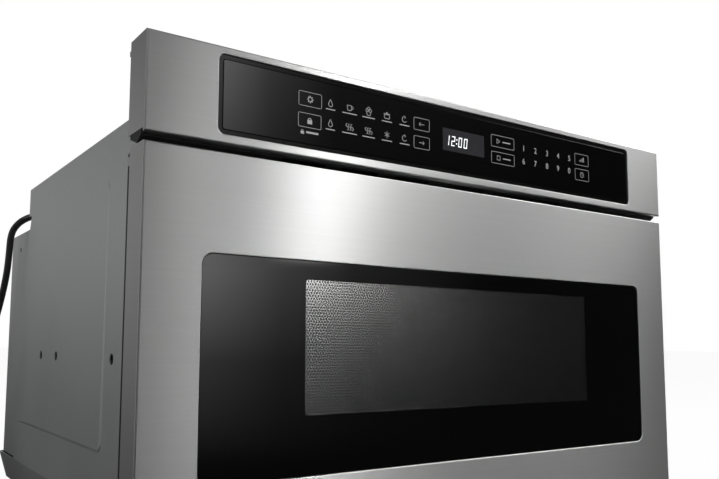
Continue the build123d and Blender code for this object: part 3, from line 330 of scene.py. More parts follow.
def make_wound_transformer():
    """Laminated core with an enamelled copper winding through it."""
    material, tree, shader, place = new_material("transformer", 0.6, 0.45)
    split = add(tree, "ShaderNodeSeparateXYZ")
    wire(tree, place, split.inputs[0])
    layers = maths(tree, "FRACT", maths(tree, "MULTIPLY", split.outputs["Y"], 1400.0))
    core = two_tone(tree, layers, (0.10, 0.10, 0.11), (0.20, 0.20, 0.21))
    turns = maths(tree, "FRACT", maths(tree, "MULTIPLY", split.outputs["Z"], 900.0))
    copper = two_tone(tree, turns, (0.42, 0.17, 0.07), (0.62, 0.30, 0.14))
    from_middle = maths(tree, "ABSOLUTE", maths(tree, "SUBTRACT", split.outputs["Y"], CORE_MIDDLE_Y))
    outside = maths(tree, "GREATER_THAN", from_middle, CORE_HALF)
    mix = add(tree, "ShaderNodeMix", data_type="RGBA")
    wire(tree, outside, mix.inputs["Factor"])
    wire(tree, core, mix.inputs["A"])
    wire(tree, copper, mix.inputs["B"])
    wire(tree, mix.outputs["Result"], shader.inputs["Base Color"])
    bump(tree, shader, turns, 0.3, 0.0002)
    return material


def make_circuit_board():
    material, tree, shader, place = new_material("circuit_board", 0.0, 0.4)
    cells = add(tree, "ShaderNodeTexVoronoi")
    wire(tree, place, cells.inputs["Vector"])
    cells.inputs["Scale"].default_value = 260.0
    lands = maths(tree, "LESS_THAN", cells.outputs["Distance"], 0.22)
    mix = add(tree, "ShaderNodeMix", data_type="RGBA")
    wire(tree, lands, mix.inputs["Factor"])
    tone = placed_group(tree, SURFACE_TONE, place, Grain_Scale=500.0, Cloud_Scale=30.0)
    wire(tree, two_tone(tree, tone.outputs["Tone"], (0.02, 0.13, 0.06), (0.03, 0.18, 0.09)), mix.inputs["A"])
    mix.inputs["B"].default_value = (0.45, 0.42, 0.36, 1.0)
    wire(tree, mix.outputs["Result"], shader.inputs["Base Color"])
    return material


MATERIALS = {
    "stainless": make_brushed_stainless(),
    "case": plain_finish("galvanised_case", (0.243, 0.248, 0.247), (0.283, 0.289, 0.287), 0.6, (0.38, 0.46),
                         grain=260.0, cloud=5.0, height=0.00003, strength=0.15),
    "zinc": plain_finish("zinc_plate", (0.42, 0.42, 0.41), (0.50, 0.50, 0.49), 0.85, (0.34, 0.46),
                         grain=300.0, cloud=14.0),
    "black_enamel": plain_finish("black_enamel", (0.006, 0.006, 0.006), (0.010, 0.010, 0.010), 0.0,
                                 (0.35, 0.45)),
    "black_glass": make_glass_print(),
    "tinted_glass": make_view_pane(),
    "clear_glass": make_clear_glass("clear_glass", (0.80, 0.84, 0.83), 0.02),
    "lamp_glass": make_clear_glass("lamp_glass", (0.92, 0.90, 0.84), 0.05),
    "black_gloss": plain_finish("black_moulding", (0.004, 0.004, 0.004), (0.007, 0.007, 0.007), 0.0,
                                (0.10, 0.16), grain=1500.0, cloud=20.0, height=0.00001, strength=0.1,
                                specular=0.2),
    "black_plastic": plain_finish("black_plastic", (0.006, 0.006, 0.006), (0.011, 0.011, 0.011), 0.0,
                                  (0.50, 0.6), grain=1500.0, cloud=20.0, height=0.00006, strength=0.4,
                                  specular=0.2),
    "white_plastic": plain_finish("white_plastic", (0.74, 0.74, 0.71), (0.82, 0.82, 0.79), 0.0, (0.40, 0.5),
                                  grain=900.0, cloud=20.0, height=0.00005),
    "acetal": plain_finish("acetal_gear", (0.70, 0.69, 0.63), (0.78, 0.77, 0.71), 0.0, (0.30, 0.42),
                           grain=700.0, cloud=25.0),
    "screen": make_perforated_screen(),
    "cavity": plain_finish("cavity_enamel", (0.52, 0.52, 0.50), (0.60, 0.60, 0.58), 0.0, (0.32, 0.42),
                           grain=220.0, cloud=12.0, height=0.00005, strength=0.35),
    "ceramic": plain_finish("ceramic_plate", (0.78, 0.78, 0.75), (0.84, 0.84, 0.81), 0.0, (0.12, 0.20),
                            grain=500.0, cloud=10.0, height=0.00002, strength=0.15),
    "rolled_steel": plain_finish("rolled_steel", (0.52, 0.53, 0.54), (0.62, 0.63, 0.64), 1.0, (0.28, 0.40),
                                 grain=500.0, cloud=18.0),
    "motor": plain_finish("motor_can", (0.48, 0.48, 0.49), (0.58, 0.58, 0.59), 0.95, (0.30, 0.42),
                          cloud=22.0),
    "transformer": make_wound_transformer(),
    "aluminium": plain_finish("aluminium", (0.70, 0.70, 0.71), (0.80, 0.80, 0.81), 1.0, (0.30, 0.42),
                              grain=350.0, cloud=15.0),
    "board": make_circuit_board(),
    "display": plain_finish("display_window", (0.024, 0.024, 0.026), (0.030, 0.030, 0.033), 0.0,
                            (0.10, 0.16), grain=800.0, cloud=30.0, height=0.00001, strength=0.1),
    "screw": plain_finish("zinc_screw", (0.55, 0.55, 0.54), (0.66, 0.66, 0.65), 1.0, (0.25, 0.38),
                          grain=900.0, cloud=60.0),
    "cord": plain_finish("cord_jacket", (0.008, 0.008, 0.008), (0.014, 0.014, 0.014), 0.0, (0.38, 0.52),
                         grain=1300.0, cloud=60.0, height=0.00005, strength=0.35),
    "tie": plain_finish("nylon_strap", (0.010, 0.010, 0.011), (0.016, 0.016, 0.017), 0.0, (0.28, 0.4),
                        grain=1200.0, cloud=50.0),
    "print": make_print("panel_print", (0.36, 0.36, 0.36), 0.0),
    "lit": make_print("clock_digit", (0.86, 0.88, 0.88), 0.75),
}

FINISHES = {
    "stainless": ["control_panel_frame", "drawer_front_skin"],
    "case": ["base_pan", "side_wall_left", "side_wall_right", "top_cover", "upper_rear_panel", "rear_cover"],
    "zinc": ["front_frame", "waveguide", "exhaust_duct", "drive_bracket"],
    "black_enamel": ["choke_frame"],
    "black_glass": ["touch_glass"],
    "clear_glass": ["inner_window"],
    "lamp_glass": ["oven_lamp"],
    "black_gloss": ["panel_bezel"],
    "black_plastic": ["vent_grille", "choke_cover", "fan_shroud", "hv_diode", "interlock_switches"],
    "white_plastic": ["fan_blade", "lamp_socket", "rack_guides", "latch_hooks"],
    "acetal": ["drive_pinion", "rack_gear"],
    "screen": ["door_screen"],
    "cavity": ["oven_cavity", "drawer_box"],
    "ceramic": ["drawer_floor"],
    "rolled_steel": ["rail_outer_left", "rail_outer_right", "rail_middle_left", "rail_middle_right",
                     "rail_inner_left", "rail_inner_right"],
    "motor": ["fan_motor", "drive_motor", "antenna_motor"],
    "transformer": ["power_transformer"],
    "aluminium": ["magnetron", "hv_capacitor", "antenna"],
    "board": ["noise_filter", "control_board"],
    "display": ["display_module"],
    "screw": ["drawer_screws", "case_screws"],
    "cord": ["cord_bushing", "power_cord", "power_cord_coil", "power_plug"],
    "tie": ["cord_tie"],
}


def paint(piece, material):
    """Gives a piece one finish."""
    piece.data.materials.clear()
    piece.data.materials.append(MATERIALS[material])


for finish, members in FINISHES.items():
    for member in members:
        paint(nodes[member], finish)


# ---- pieces made here ------------------------------------------------------------
def piece_from(bm, name, material, body):
    """Turns a bmesh into a piece that rides on a body."""
    bmesh.ops.recalc_face_normals(bm, faces=bm.faces[:])
    mesh = bpy.data.meshes.new(name)
    bm.to_mesh(mesh)
    bm.free()
    piece = bpy.data.objects.new(name, mesh)
    bpy.context.scene.collection.objects.link(piece)
    paint(piece, material)
    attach(piece, body)
    return piece


def rounded_face(bm, x, z, width, height, corner, y):
    """A flat face in the X-Z plane with rounded corners."""
    before = set(bm.faces)
    grid = bmesh.ops.create_grid(bm, x_segments=1, y_segments=1, size=0.5)
    verts = grid["verts"]
    bmesh.ops.scale(bm, vec=(width, height, 1.0), verts=verts)
    bmesh.ops.rotate(bm, cent=(0, 0, 0), matrix=Matrix.Rotation(math.pi / 2, 3, "X"), verts=verts)
    bmesh.ops.translate(bm, vec=(x, y, z), verts=verts)
    if corner:
        bmesh.ops.bevel(bm, geom=verts[:], offset=corner, affect="VERTICES", segments=6, profile=0.5,
                        material=-1)
    return max((f for f in bm.faces if f not in before), key=lambda f: f.calc_area())


def thicken(bm, faces, depth):
    """Pushes flat faces back to a closed solid."""
    made = bmesh.ops.extrude_face_region(bm, geom=faces)
    verts = [g for g in made["geom"] if isinstance(g, bmesh.types.BMVert)]
    bmesh.ops.translate(bm, vec=(0, depth, 0), verts=verts)


def ringed_face(bm, outer, inner, y):
    """Flat ring between two rounded outlines: each is (x, z, width, height, corner)."""
    loops = []
    for outline in (outer, inner):
        face = rounded_face(bm, *outline, y)
        edges = face.edges[:]
        bmesh.ops.delete(bm, geom=[face], context="FACES_ONLY")
        loops += edges
    return bmesh.ops.bridge_loops(bm, edges=loops)["faces"]


def window_print():
    """Black printed border of the drawer's window glass."""
    bm = bmesh.new()
    low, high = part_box("window_glass")
    glass = ((low[0] + high[0]) / 2, (low[2] + high[2]) / 2, high[0] - low[0], high[2] - low[2],
             GLASS_CORNER)
    faces = ringed_face(bm, glass, VIEW, low[1])
    thicken(bm, faces, high[1] - low[1])
    return piece_from(bm, "window_print", "black_glass", "drawer")


def middle_sheet(name, material, front, back):
    """A sheet that fills the opening of the printed border between two depths."""
    bm = bmesh.new()
    x, z, width, height, corner = VIEW
    face = rounded_face(bm, x, z, width - EDGE_GAP, height - EDGE_GAP, corner, front)
    thicken(bm, [face], back - front)
    return piece_from(bm, name, material, "drawer")


def window_pane():
    """Tinted see-through middle of the window glass."""
    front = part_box("window_glass")[0][1]
    return middle_sheet("window_pane", "tinted_glass", front, front + PANE_THICK)


def window_screen():
    """Perforated sheet that shows through the pane; the model's own screen stands further back."""
    low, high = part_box("window_glass")
    front = low[1] + PANE_THICK + SCREEN_GAP
    return middle_sheet("window_screen", "screen", front, high[1])


border = window_print()
pane = window_pane()
window_screen()
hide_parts("window_glass")
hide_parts("window_glass")


# ---- marks on the touch glass ------------------------------------------------------
GLASS_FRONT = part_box("touch_glass")[0][1]
PRINT_DEPTH = 0.00006
MARK_Y = GLASS_FRONT - PRINT_DEPTH
# line widths and number height of the marks, in mm
KEY_LINE = 0.36
STROKE = 0.46
NUMBER_TALL = 5.6


def mark_bar(bm, left, right, low, high, corner=0.0):
    """A printed bar; sizes in mm, heights below the panel's top."""
    face = rounded_face(bm, (left + right) / 2 * MM, TOP_Z + (low + high) / 2 * MM,
                        (right - left) * MM, (high - low) * MM, corner * MM, MARK_Y)
    thicken(bm, [face], PRINT_DEPTH)


def mark_box(bm, left, right, low, high):
    """Rounded outline of a touch key."""
    x, z = (left + right) / 2 * MM, TOP_Z + (low + high) / 2 * MM
    width, height = (right - left) * MM, (high - low) * MM
    inner = (x, z, width - 2 * KEY_LINE * MM, height - 2 * KEY_LINE * MM, 1.0 * MM)
    faces = ringed_face(bm, (x, z, width, height, 1.4 * MM), inner, MARK_Y)
    thicken(bm, faces, PRINT_DEPTH)


def mark_arc(bm, x, z, radius, line, start=0.0, turn=360.0):
    """A printed arc or ring; angles in degrees from the right, anticlockwise."""
    a = math.radians(start)
    ends = []
    for r in (radius - line / 2, radius + line / 2):
        ends.append(bm.verts.new(((x + r * math.cos(a)) * MM, MARK_Y, TOP_Z + (z + r * math.sin(a)) * MM)))
    edge = bm.edges.new(ends)
    before = set(bm.faces)
    steps = max(6, int(abs(turn) / 15))
    bmesh.ops.spin(bm, geom=[edge, *ends], cent=(x * MM, MARK_Y, TOP_Z + z * MM), axis=(0, -1, 0),
                   angle=math.radians(turn), steps=steps, use_merge=abs(turn) >= 360.0)
    thicken(bm, [f for f in bm.faces if f not in before], PRINT_DEPTH)


def mark_stroke(bm, x0, z0, x1, z1, line):
    """A straight printed stroke between two points."""
    length = math.hypot(x1 - x0, z1 - z0)
    face = rounded_face(bm, 0, 0, length * MM, line * MM, 0.0, MARK_Y)
    turn = Matrix.Rotation(-math.atan2(z1 - z0, x1 - x0), 3, "Y")
    bmesh.ops.rotate(bm, cent=(0, MARK_Y, 0), matrix=turn, verts=face.verts[:])
    bmesh.ops.translate(bm, vec=((x0 + x1) / 2 * MM, 0, TOP_Z + (z0 + z1) / 2 * MM), verts=face.verts[:])
    thicken(bm, [face], PRINT_DEPTH)


def mark_disc(bm, x, z, radius, sides=16):
    made = bmesh.ops.create_circle(bm, cap_ends=True, segments=sides, radius=radius * MM)
    bmesh.ops.rotate(bm, cent=(0, 0, 0), matrix=Matrix.Rotation(math.pi / 2, 3, "X"), verts=made["verts"])
    bmesh.ops.translate(bm, vec=(x * MM, MARK_Y, TOP_Z + z * MM), verts=made["verts"])
    thicken(bm, [made["verts"][0].link_faces[0]], PRINT_DEPTH)


def mark_digit(bm, text, x, z, height):
    """A plain number, centred on x and z."""
    curve = bpy.data.curves.new("digit", "FONT")
    curve.body = text
    curve.size = height / 0.7 * MM
    curve.align_x = "CENTER"
    curve.align_y = "CENTER"
    holder = bpy.data.objects.new("digit", curve)
    mesh = bpy.data.meshes.new_from_object(holder)
    place = Matrix.Translation((x * MM, MARK_Y, TOP_Z + z * MM))
    mesh.transform(place @ Matrix.Rotation(math.pi / 2, 4, "X"))
    before = set(bm.faces)
    bm.from_mesh(mesh)
    thicken(bm, [f for f in bm.faces if f not in before], PRINT_DEPTH)
    bpy.data.objects.remove(holder)
    bpy.data.curves.remove(curve)
    bpy.data.meshes.remove(mesh)


def icon_cup(bm, x, z):
    mark_stroke(bm, x - 2.6, z + 1.6, x - 2.0, z - 2.6, STROKE)
    mark_stroke(bm, x - 2.0, z - 2.6, x + 1.4, z - 2.6, STROKE)
    mark_stroke(bm, x + 1.4, z - 2.6, x + 2.0, z + 1.6, STROKE)
    mark_stroke(bm, x - 2.8, z + 1.6, x + 2.2, z + 1.6, STROKE)
    mark_arc(bm, x + 2.2, z - 0.2, 1.2, STROKE, -90, 180)


def icon_waves(bm, x, z, count=3):
    for k in range(count):
        shift = (k - (count - 1) / 2) * 2.4
        mark_arc(bm, x + shift, z + 1.3, 1.3, STROKE, 90, 180)
        mark_arc(bm, x + shift, z - 1.3, 1.3, STROKE, -90, 180)


def icon_drop(bm, x, z):
    mark_arc(bm, x, z - 1.0, 1.9, STROKE, 150, 240)
    mark_stroke(bm, x - 1.65, z - 0.05, x, z + 3.2, STROKE)
    mark_stroke(bm, x + 1.65, z - 0.05, x, z + 3.2, STROKE)


def icon_kernels(bm, x, z):
    for dx, dz in ((-1.6, 0.9), (1.6, 0.9), (0.0, 2.4)):
        mark_arc(bm, x + dx, z + dz, 1.35, STROKE)
    mark_stroke(bm, x - 2.2, z - 0.8, x - 1.5, z - 3.2, STROKE)
    mark_stroke(bm, x + 2.2, z - 0.8, x + 1.5, z - 3.2, STROKE)
    mark_stroke(bm, x - 1.5, z - 3.2, x + 1.5, z - 3.2, STROKE)


def icon_pot(bm, x, z):
    mark_box_plain(bm, x - 2.8, x + 2.8, z - 2.6, z + 0.8)
    mark_stroke(bm, x - 3.4, z + 1.5, x + 3.4, z + 1.5, STROKE)
    mark_disc(bm, x, z + 2.4, 0.6)


def mark_box_plain(bm, left, right, low, high):
    mark_stroke(bm, left, low, right, low, STROKE)
    mark_stroke(bm, left, high, right, high, STROKE)
    mark_stroke(bm, left, low, left, high, STROKE)
    mark_stroke(bm, right, low, right, high, STROKE)


def icon_turn(bm, x, z):
    mark_arc(bm, x, z, 2.5, STROKE, 60, 270)
    mark_stroke(bm, x + 1.25, z + 2.15, x - 0.4, z + 3.1, STROKE)
    mark_stroke(bm, x + 1.25, z + 2.15, x + 0.1, z + 0.8, STROKE)


def icon_flake(bm, x, z):
    for turn in (90, 30, 150):
        a = math.radians(turn)
        mark_stroke(bm, x - 2.9 * math.cos(a), z - 2.9 * math.sin(a), x + 2.9 * math.cos(a),
                    z + 2.9 * math.sin(a), STROKE)


def icon_lock(bm, x, z, size=1.0):
    mark_bar(bm, x - 1.7 * size, x + 1.7 * size, z - 2.0 * size, z + 0.4 * size)
    mark_arc(bm, x, z + 0.4 * size, 1.15 * size, 0.5 * size, 0, 180)


def icon_gear(bm, x, z):
    mark_arc(bm, x, z, 1.7, STROKE)
    for k in range(8):
        a = math.radians(45 * k)
        mark_stroke(bm, x + 1.9 * math.cos(a), z + 1.9 * math.sin(a), x + 2.9 * math.cos(a),
                    z + 2.9 * math.sin(a), 0.8)


def icon_arrow(bm, x, z, way):
    mark_stroke(bm, x - 3.0, z, x + 3.0, z, STROKE)
    mark_stroke(bm, x + way * 3.0, z, x + way * 1.2, z + 1.6, STROKE)
    mark_stroke(bm, x + way * 3.0, z, x + way * 1.2, z - 1.6, STROKE)


def icon_start(bm, x, z):
    mark_stroke(bm, x - 1.8, z - 2.2, x - 1.8, z + 2.2, STROKE)
    mark_stroke(bm, x - 1.8, z + 2.2, x + 2.2, z, STROKE)
    mark_stroke(bm, x - 1.8, z - 2.2, x + 2.2, z, STROKE)


def icon_levels(bm, x, z):
    for k in range(4):
        mark_bar(bm, x - 3.4 + 2.0 * k, x - 2.4 + 2.0 * k, z - 2.4, z - 1.2 + 1.2 * k)


def icon_clock(bm, x, z):
    mark_arc(bm, x, z, 2.7, STROKE)
    mark_stroke(bm, x, z, x, z + 1.9, STROKE)
    mark_stroke(bm, x, z, x + 1.4, z - 0.6, STROKE)


def panel_marks():
    """Touch key outlines, plain icons and numbers."""
    bm = bmesh.new()
    for left, right, low, high in ((-177.7, -155.8, -32.3, -20.4), (-178.0, -156.2, -49.6, -37.9),
                                   (-59.1, -40.8, -32.4, -21.2), (-59.1, -40.8, -49.0, -37.7),
                                   (36.4, 67.8, -32.7, -21.1), (36.4, 67.8, -48.7, -37.3),
                                   (158.2, 180.3, -33.4, -21.4), (158.2, 180.3, -49.4, -37.3)):
        mark_box(bm, left, right, low, high)
    icon_gear(bm, -166.8, -26.3)
    icon_lock(bm, -167.1, -43.8, 1.3)
    icon_lock(bm, -174.0, -53.4, 0.9)
    mark_bar(bm, -170.5, -159.0, -54.2, -52.6)
    columns = (-147.3, -128.1, -108.5, -89.0, -69.6)
    for x, icon in zip(columns, (icon_drop, icon_cup, icon_kernels, icon_pot, icon_turn)):
        icon(bm, x, -25.6)
    for x, icon in zip(columns, (icon_drop, icon_waves, icon_waves, icon_flake, icon_turn)):
        icon(bm, x, -42.3)
    for x, wide in zip(columns, (9, 15, 13, 11, 11)):
        mark_bar(bm, x - wide / 2, x + wide / 2, -31.2, -30.4)
        mark_bar(bm, x - wide / 2, x + wide / 2, -47.9, -47.1)
    icon_arrow(bm, -50.0, -26.8, -1)
    icon_arrow(bm, -50.0, -43.4, 1)
    icon_start(bm, 46.0, -26.9)
    mark_bar(bm, 52.0, 62.5, -27.4, -26.4)
    mark_box_plain(bm, 44.2, 48.2, -45.0, -41.0)
    mark_bar(bm, 52.0, 62.5, -43.5, -42.5)
    icon_levels(bm, 169.2, -27.0)
    icon_clock(bm, 169.2, -43.3)
    for text, x in zip("12345", (81.3, 98.2, 115.4, 132.2, 149.5)):
        mark_digit(bm, text, x, -28.7, NUMBER_TALL)
    for text, x in zip("67890", (80.9, 97.8, 115.1, 131.7, 149.0)):
        mark_digit(bm, text, x, -41.7, NUMBER_TALL)
    return piece_from(bm, "panel_marks", "print", "oven")


SEGMENTS = {"0": "abcdef", "1": "bc", "2": "abged"}


def clock_digits():
    """Slanted seven-segment numbers in the display."""
    bm = bmesh.new()
    low, tall, wide, line = -40.6, 9.4, 4.4, 1.05
    gap, slant = 0.12, 0.12

    def segment(x, name):
        mid = low + tall / 2
        high, end = low + tall, x + wide
        spots = {"a": (x, end, high - line, high), "g": (x, end, mid - line / 2, mid + line / 2),
                 "d": (x, end, low, low + line), "b": (end - line, end, mid, high),
                 "c": (end - line, end, low, mid), "e": (x, x + line, low, mid),
                 "f": (x, x + line, mid, high)}
        left, right, bottom, top = spots[name]
        mark_bar(bm, left + gap, right - gap, bottom + gap, top - gap)

    for text, x in (("1", -22.0), ("2", -15.0), ("0", -6.4), ("0", 0.3)):
        for name in SEGMENTS[text]:
            segment(x, name)
    for z in (low + 2.2, low + 6.0):
        mark_bar(bm, -9.2, -8.0, z, z + 1.2)
    shear = Matrix.Identity(3)
    shear[0][2] = slant
    bmesh.ops.transform(bm, matrix=shear.to_4x4(), verts=bm.verts[:],
                        space=Matrix.Translation((0, 0, -(TOP_Z + low * MM))))
    return piece_from(bm, "clock_digits", "lit", "oven")


def display_pane():
    """Lighter display window in the touch glass."""
    bm = bmesh.new()
    proud = 0.00003
    x, below_top, width, height, corner = 1.0, 35.3, 52.0, 20.6, 0.6
    face = rounded_face(bm, x * MM, TOP_Z - below_top * MM, width * MM, height * MM, corner * MM,
                        GLASS_FRONT - proud)
    thicken(bm, [face], proud)
    return piece_from(bm, "display_pane", "display", "oven")


panel_marks()
clock_digits()
display_pane()


# ---- mains cord --------------------------------------------------------------------
# the model's route: X, depth behind the front face and Z, in metres
CORD_ROUTE = [
    (-0.2625, 0.4990, 0.3380), (-0.2625, 0.5125, 0.3380), (-0.2680, 0.5260, 0.3365),
    (-0.2765, 0.5340, 0.3300), (-0.2835, 0.5390, 0.3170), (-0.2840, 0.5410, 0.2910),
    (-0.2855, 0.5425, 0.2630), (-0.2900, 0.5500, 0.2280), (-0.2970, 0.5640, 0.1850),
    (-0.3040, 0.5750, 0.1410), (-0.3100, 0.5710, 0.0980), (-0.3140, 0.5580, 0.0600),
    (-0.3145, 0.5360, 0.0300), (-0.3140, 0.5080, 0.01495), (-0.3140, 0.4780, 0.01495),
]
COIL_INNER, TURN_STEP, HALF_TURNS = 0.0375, 0.0112, 3
COIL_TOP, COIL_LOW = 0.01495, 0.00575
# the straight tail to the plug: how far behind the coil's end, and its height
TAIL = ((0.016, COIL_LOW), (0.056, 0.013), (0.070, 0.013))


def coil_points():
    """Two layers of loops: in on the upper one, out on the lower one."""
    outer = COIL_INNER + HALF_TURNS * TURN_STEP / 2
    start_x, start_depth, _ = CORD_ROUTE[-1]
    centre = (start_x - outer, start_depth)
    steps = 8
    flare = 1.0 / math.cos(math.pi / steps / 2) ** 0.5
    points = []
    total = (2 * HALF_TURNS + 1) * steps
    for k in range(1, total + 1):
        half_turns = k / steps
        if half_turns <= HALF_TURNS:
            radius, z = outer - TURN_STEP / 2 * half_turns, COIL_TOP
        elif half_turns <= HALF_TURNS + 1:
            share = half_turns - HALF_TURNS
            radius, z = COIL_INNER, COIL_TOP + (COIL_LOW - COIL_TOP) * share
        else:
            radius, z = COIL_INNER + TURN_STEP / 2 * (half_turns - HALF_TURNS - 1), COIL_LOW
        angle = -math.pi * half_turns
        points.append((centre[0] + radius * flare * math.cos(angle),
                       centre[1] + radius * flare * math.sin(angle), z))
    x, depth = centre[0] - outer, centre[1]
    points[-1] = (x, depth, COIL_LOW)
    points += [(x, depth + behind, z) for behind, z in TAIL]
    return points


def mains_cord():
    route = CORD_ROUTE + coil_points()
    curve = bpy.data.curves.new("mains_cord", "CURVE")
    curve.dimensions = "3D"
    spline = curve.splines.new("NURBS")
    spline.points.add(len(route) - 1)
    for point, (x, depth, z) in zip(spline.points, route):
        point.co = (x, FRONT_Y + depth, z, 1.0)
    spline.order_u = 3
    spline.use_endpoint_u = True
    spline.resolution_u = 8
    curve.bevel_depth = CORD / 2
    curve.bevel_resolution = 4
    curve.use_fill_caps = True
    piece = bpy.data.objects.new("mains_cord", curve)
    bpy.context.scene.collection.objects.link(piece)
    paint(piece, "cord")
    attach(piece, "oven")
    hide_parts("power_cord", "power_cord_coil")
    return piece


mains_cord()


# ---- floor, light and camera ---------------------------------------------------------
FLOOR_HALF = 30.0
FLOOR_BELOW = 0.0004
# share of the floor's look that is plain white paper; the rest is lit and holds the shadow
PAPER_SHARE = 0.93
TENT_RADIUS = 8.0
TENT_DIM = 0.01
AMBIENT = (0.42, 0.42, 0.42, 1.0)
WHITE = (1.0, 1.0, 1.0, 1.0)


def studio_floor():
    """Pale floor: near white to the camera and through glass, left out of gloss, with a faint shadow."""
    bm = bmesh.new()
    bmesh.ops.create_grid(bm, x_segments=1, y_segments=1, size=FLOOR_HALF)
    bmesh.ops.translate(bm, vec=(0, 0, -FLOOR_BELOW), verts=bm.verts[:])
    mesh = bpy.data.meshes.new("studio_floor")
    bm.to_mesh(mesh)
    bm.free()
    floor = bpy.data.objects.new("studio_floor", mesh)
    bpy.context.scene.collection.objects.link(floor)
    material, tree, shader, place = new_material("floor_paper", 0.0, 0.9)
    tone = placed_group(tree, SURFACE_TONE, place, Grain_Scale=40.0, Cloud_Scale=0.6)
    wire(tree, two_tone(tree, tone.outputs["Tone"], (0.93, 0.93, 0.93), (0.96, 0.96, 0.96)),
         shader.inputs["Base Color"])
    shader.inputs["Specular IOR Level"].default_value = 0.0
    # mostly plain white paper, so that the floor's far edge fades and the shadow stays faint
    path = add(tree, "ShaderNodeLightPath")
    shown = maths(tree, "MAXIMUM", path.outputs["Is Camera Ray"], path.outputs["Is Transmission Ray"])
    paper = add(tree, "ShaderNodeEmission")
    mix = add(tree, "ShaderNodeMixShader")
    wire(tree, maths(tree, "MULTIPLY", shown, PAPER_SHARE), mix.inputs["Fac"])
    wire(tree, shader.outputs[0], mix.inputs[1])
    wire(tree, paper.outputs[0], mix.inputs[2])
    wire(tree, mix.outputs[0], tree.nodes["Material Output"].inputs["Surface"])
    floor.data.materials.append(material)
    floor.visible_glossy = False


def soft_lamp(name, place, target, width, height, watts):
    """A rectangular lamp that points at a target and isn't seen in gloss."""
    light = bpy.data.lights.new(name, "AREA")
    light.shape = "RECTANGLE"
    light.size = width
    light.size_y = height
    light.energy = watts
    lamp = bpy.data.objects.new(name, light)
    bpy.context.scene.collection.objects.link(lamp)
    way = (Vector(target) - Vector(place)).normalized()
    lamp.matrix_world = Matrix.Translation(place) @ way.to_track_quat("-Z", "Y").to_matrix().to_4x4()
    lamp.visible_glossy = False
    return lamp


def profile(tree, value, low, high, stops):
    """Straight stretches through (value, level) stops, levels up to 1."""
    ramp = add(tree, "ShaderNodeValToRGB")
    wire(tree, spread(tree, value, low, high), ramp.inputs["Fac"])
    ramp.color_ramp.interpolation = "LINEAR"
    elements = ramp.color_ramp.elements
    while len(elements) < len(stops):
        elements.new(0.5)
    for element, (at, level) in zip(elements, stops):
        element.position = (at - low) / (high - low)
        element.color = (level, level, level, 1.0)
    return ramp.outputs["Color"]


# each soft box of the tent: strength, its azimuth profile and its elevation profile, in degrees;
# the azimuth is measured to the right of straight ahead of the fronts
SOFT_BOXES = [
    # low box in front and the one above it, seen in the window glass and in the panel's glass
    (2.6, ((17, 0), (20, 1), (22, 1), (28, 0.35), (34, 0.1), (44, 0)),
     ((-8, 0), (0, 0.25), (7, 1), (10, 1), (14, 0))),
    (2.6, ((17, 0), (20, 1), (22, 1), (27, 0.25), (32, 0.05), (55, 0)), ((12, 0), (23, 1), (26, 1), (29, 0))),
    (6.0, ((5, 0), (10, 1), (14, 0)), ((-10, 0), (8, 1), (28, 0))),
    # strip lights above the glass's view and between the two glasses: the bright band of the steel
    (25.0, ((34, 0), (38, 1), (42, 0)), ((26, 0), (34, 1), (49, 0))),
    (18.0, ((27, 0), (30.5, 1), (34, 0)), ((8, 0), (9, 1), (12.5, 1), (13.5, 0))),
    # strips further right: the grey of the steel's right-hand half
    (8.5, ((36, 0), (46, 1), (60, 0)), ((26, 0), (34, 1), (49, 0))),
    (14.0, ((58, 0), (70, 1), (90, 0)), ((26, 0), (34, 1), (49, 0))),
    # left, rear and right
    (1.2, ((-100, 0), (-80, 1), (-20, 1), (-5, 0)), ((28, 0), (38, 1), (62, 1), (76, 0))),
    (1.6, ((-180, 0.3), (-140, 0.35), (-128, 1), (-105, 1), (-92, 0)), ((-3, 0), (10, 1), (30, 0))),
    (3.0, ((88, 0), (98, 1), (122, 1), (140, 0.4), (180, 0.4)), ((-14, 0), (-4, 1), (38, 1), (60, 0))),
]


def light_tent():
    """Dark tent with soft boxes, seen in gloss alone, where it hides the white world."""
    bm = bmesh.new()
    bmesh.ops.create_uvsphere(bm, u_segments=48, v_segments=24, radius=TENT_RADIUS)
    bmesh.ops.reverse_faces(bm, faces=bm.faces[:])
    mesh = bpy.data.meshes.new("light_tent")
    bm.to_mesh(mesh)
    bm.free()
    tent = bpy.data.objects.new("light_tent", mesh)
    bpy.context.scene.collection.objects.link(tent)
    material = bpy.data.materials.new("tent_cloth")
    material.use_nodes = True
    tree = material.node_tree
    tree.nodes.clear()
    place = add(tree, "ShaderNodeTexCoord").outputs["Object"]
    unit = add(tree, "ShaderNodeVectorMath", operation="NORMALIZE")
    wire(tree, place, unit.inputs[0])
    split = add(tree, "ShaderNodeSeparateXYZ")
    wire(tree, unit.outputs[0], split.inputs[0])
    ahead = maths(tree, "MULTIPLY", split.outputs["Y"], -1.0)
    azimuth = maths(tree, "DEGREES", maths(tree, "ARCTAN2", split.outputs["X"], ahead))
    elevation = maths(tree, "DEGREES", maths(tree, "ARCSINE", split.outputs["Z"]))
    total = TENT_DIM
    for strength, across, upward in SOFT_BOXES:
        patch = maths(tree, "MULTIPLY", profile(tree, azimuth, -180, 180, across),
                      profile(tree, elevation, -90, 90, upward))
        total = maths(tree, "MULTIPLY_ADD", patch, strength, total)
    glow = add(tree, "ShaderNodeEmission")
    wire(tree, total, glow.inputs["Strength"])
    leave = add(tree, "ShaderNodeOutputMaterial")
    wire(tree, glow.outputs[0], leave.inputs["Surface"])
    tent.data.materials.append(material)
    for ray in ("camera", "diffuse", "transmission", "volume_scatter", "shadow"):
        setattr(tent, "visible_" + ray, False)


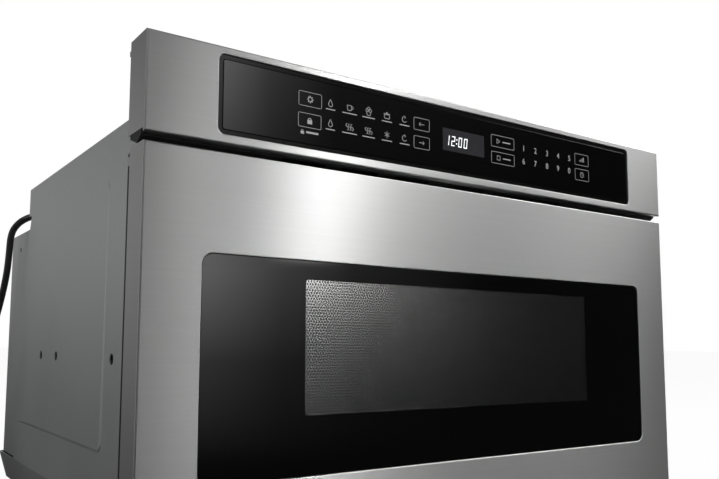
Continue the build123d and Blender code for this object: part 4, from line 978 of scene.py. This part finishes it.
def studio_world():
    """Plain ambient light; white to the camera, in gloss beyond the tent and through glass."""
    world = bpy.data.worlds.new("studio")
    world.use_nodes = True
    bpy.context.scene.world = world
    tree = world.node_tree
    tree.nodes.clear()
    leave = add(tree, "ShaderNodeOutputWorld")
    seen = add(tree, "ShaderNodeBackground")
    seen.inputs["Color"].default_value = WHITE
    ambient = add(tree, "ShaderNodeBackground")
    ambient.inputs["Color"].default_value = AMBIENT
    path = add(tree, "ShaderNodeLightPath")
    mix = add(tree, "ShaderNodeMixShader")
    shown = maths(tree, "MAXIMUM", path.outputs["Is Camera Ray"], path.outputs["Is Transmission Ray"])
    shown = maths(tree, "MAXIMUM", shown, path.outputs["Is Glossy Ray"])
    wire(tree, shown, mix.inputs["Fac"])
    wire(tree, ambient.outputs[0], mix.inputs[1])
    wire(tree, seen.outputs[0], mix.inputs[2])
    wire(tree, mix.outputs[0], leave.inputs["Surface"])


def photo_camera():
    """The photograph's view: its place, turn and picture shift."""
    yaw, pitch, roll = math.radians(33.57), math.radians(5.733), math.radians(0.381)
    ahead = Vector((math.sin(yaw) * math.cos(pitch), math.cos(yaw) * math.cos(pitch), math.sin(pitch)))
    level = Vector((math.cos(yaw), -math.sin(yaw), 0.0))
    upward = level.cross(ahead)
    right = math.cos(roll) * level + math.sin(roll) * upward
    up = -math.sin(roll) * level + math.cos(roll) * upward
    data = bpy.data.cameras.new("photo_camera")
    data.sensor_width = SENSOR_WIDE
    data.lens = SENSOR_WIDE * FOCAL_LENGTH / IMAGE_WIDE
    data.shift_x = (IMAGE_WIDE / 2 - PICTURE_MIDDLE[0]) / IMAGE_WIDE
    data.shift_y = (PICTURE_MIDDLE[1] - IMAGE_TALL / 2) / IMAGE_WIDE
    data.clip_start = 0.02
    camera = bpy.data.objects.new("photo_camera", data)
    bpy.context.scene.collection.objects.link(camera)
    turn = Matrix((right, up, -ahead)).transposed()
    place = Matrix.Translation((-0.480949, -0.493362 + FRONT_Y, 0.175837))
    camera.matrix_world = place @ turn.to_4x4()
    bpy.context.scene.camera = camera


studio_floor()
light_tent()
studio_world()
# each lamp: where it stands, where it points, its width and height in metres, its watts
soft_lamp("overhead", (0.0, 0.0, 2.6), (0.0, 0.0, 0.0), 3.0, 3.0, 45.0)
soft_lamp("front_fill", (1.3, -2.4, 1.4), (0.0, -0.2, 0.2), 1.6, 1.6, 20.0)
soft_lamp("left_fill", (-2.6, -0.4, 1.3), (-0.2, 0.0, 0.2), 1.8, 1.8, 20.0)
photo_camera()
bpy.context.scene.view_settings.view_transform = "Standard"
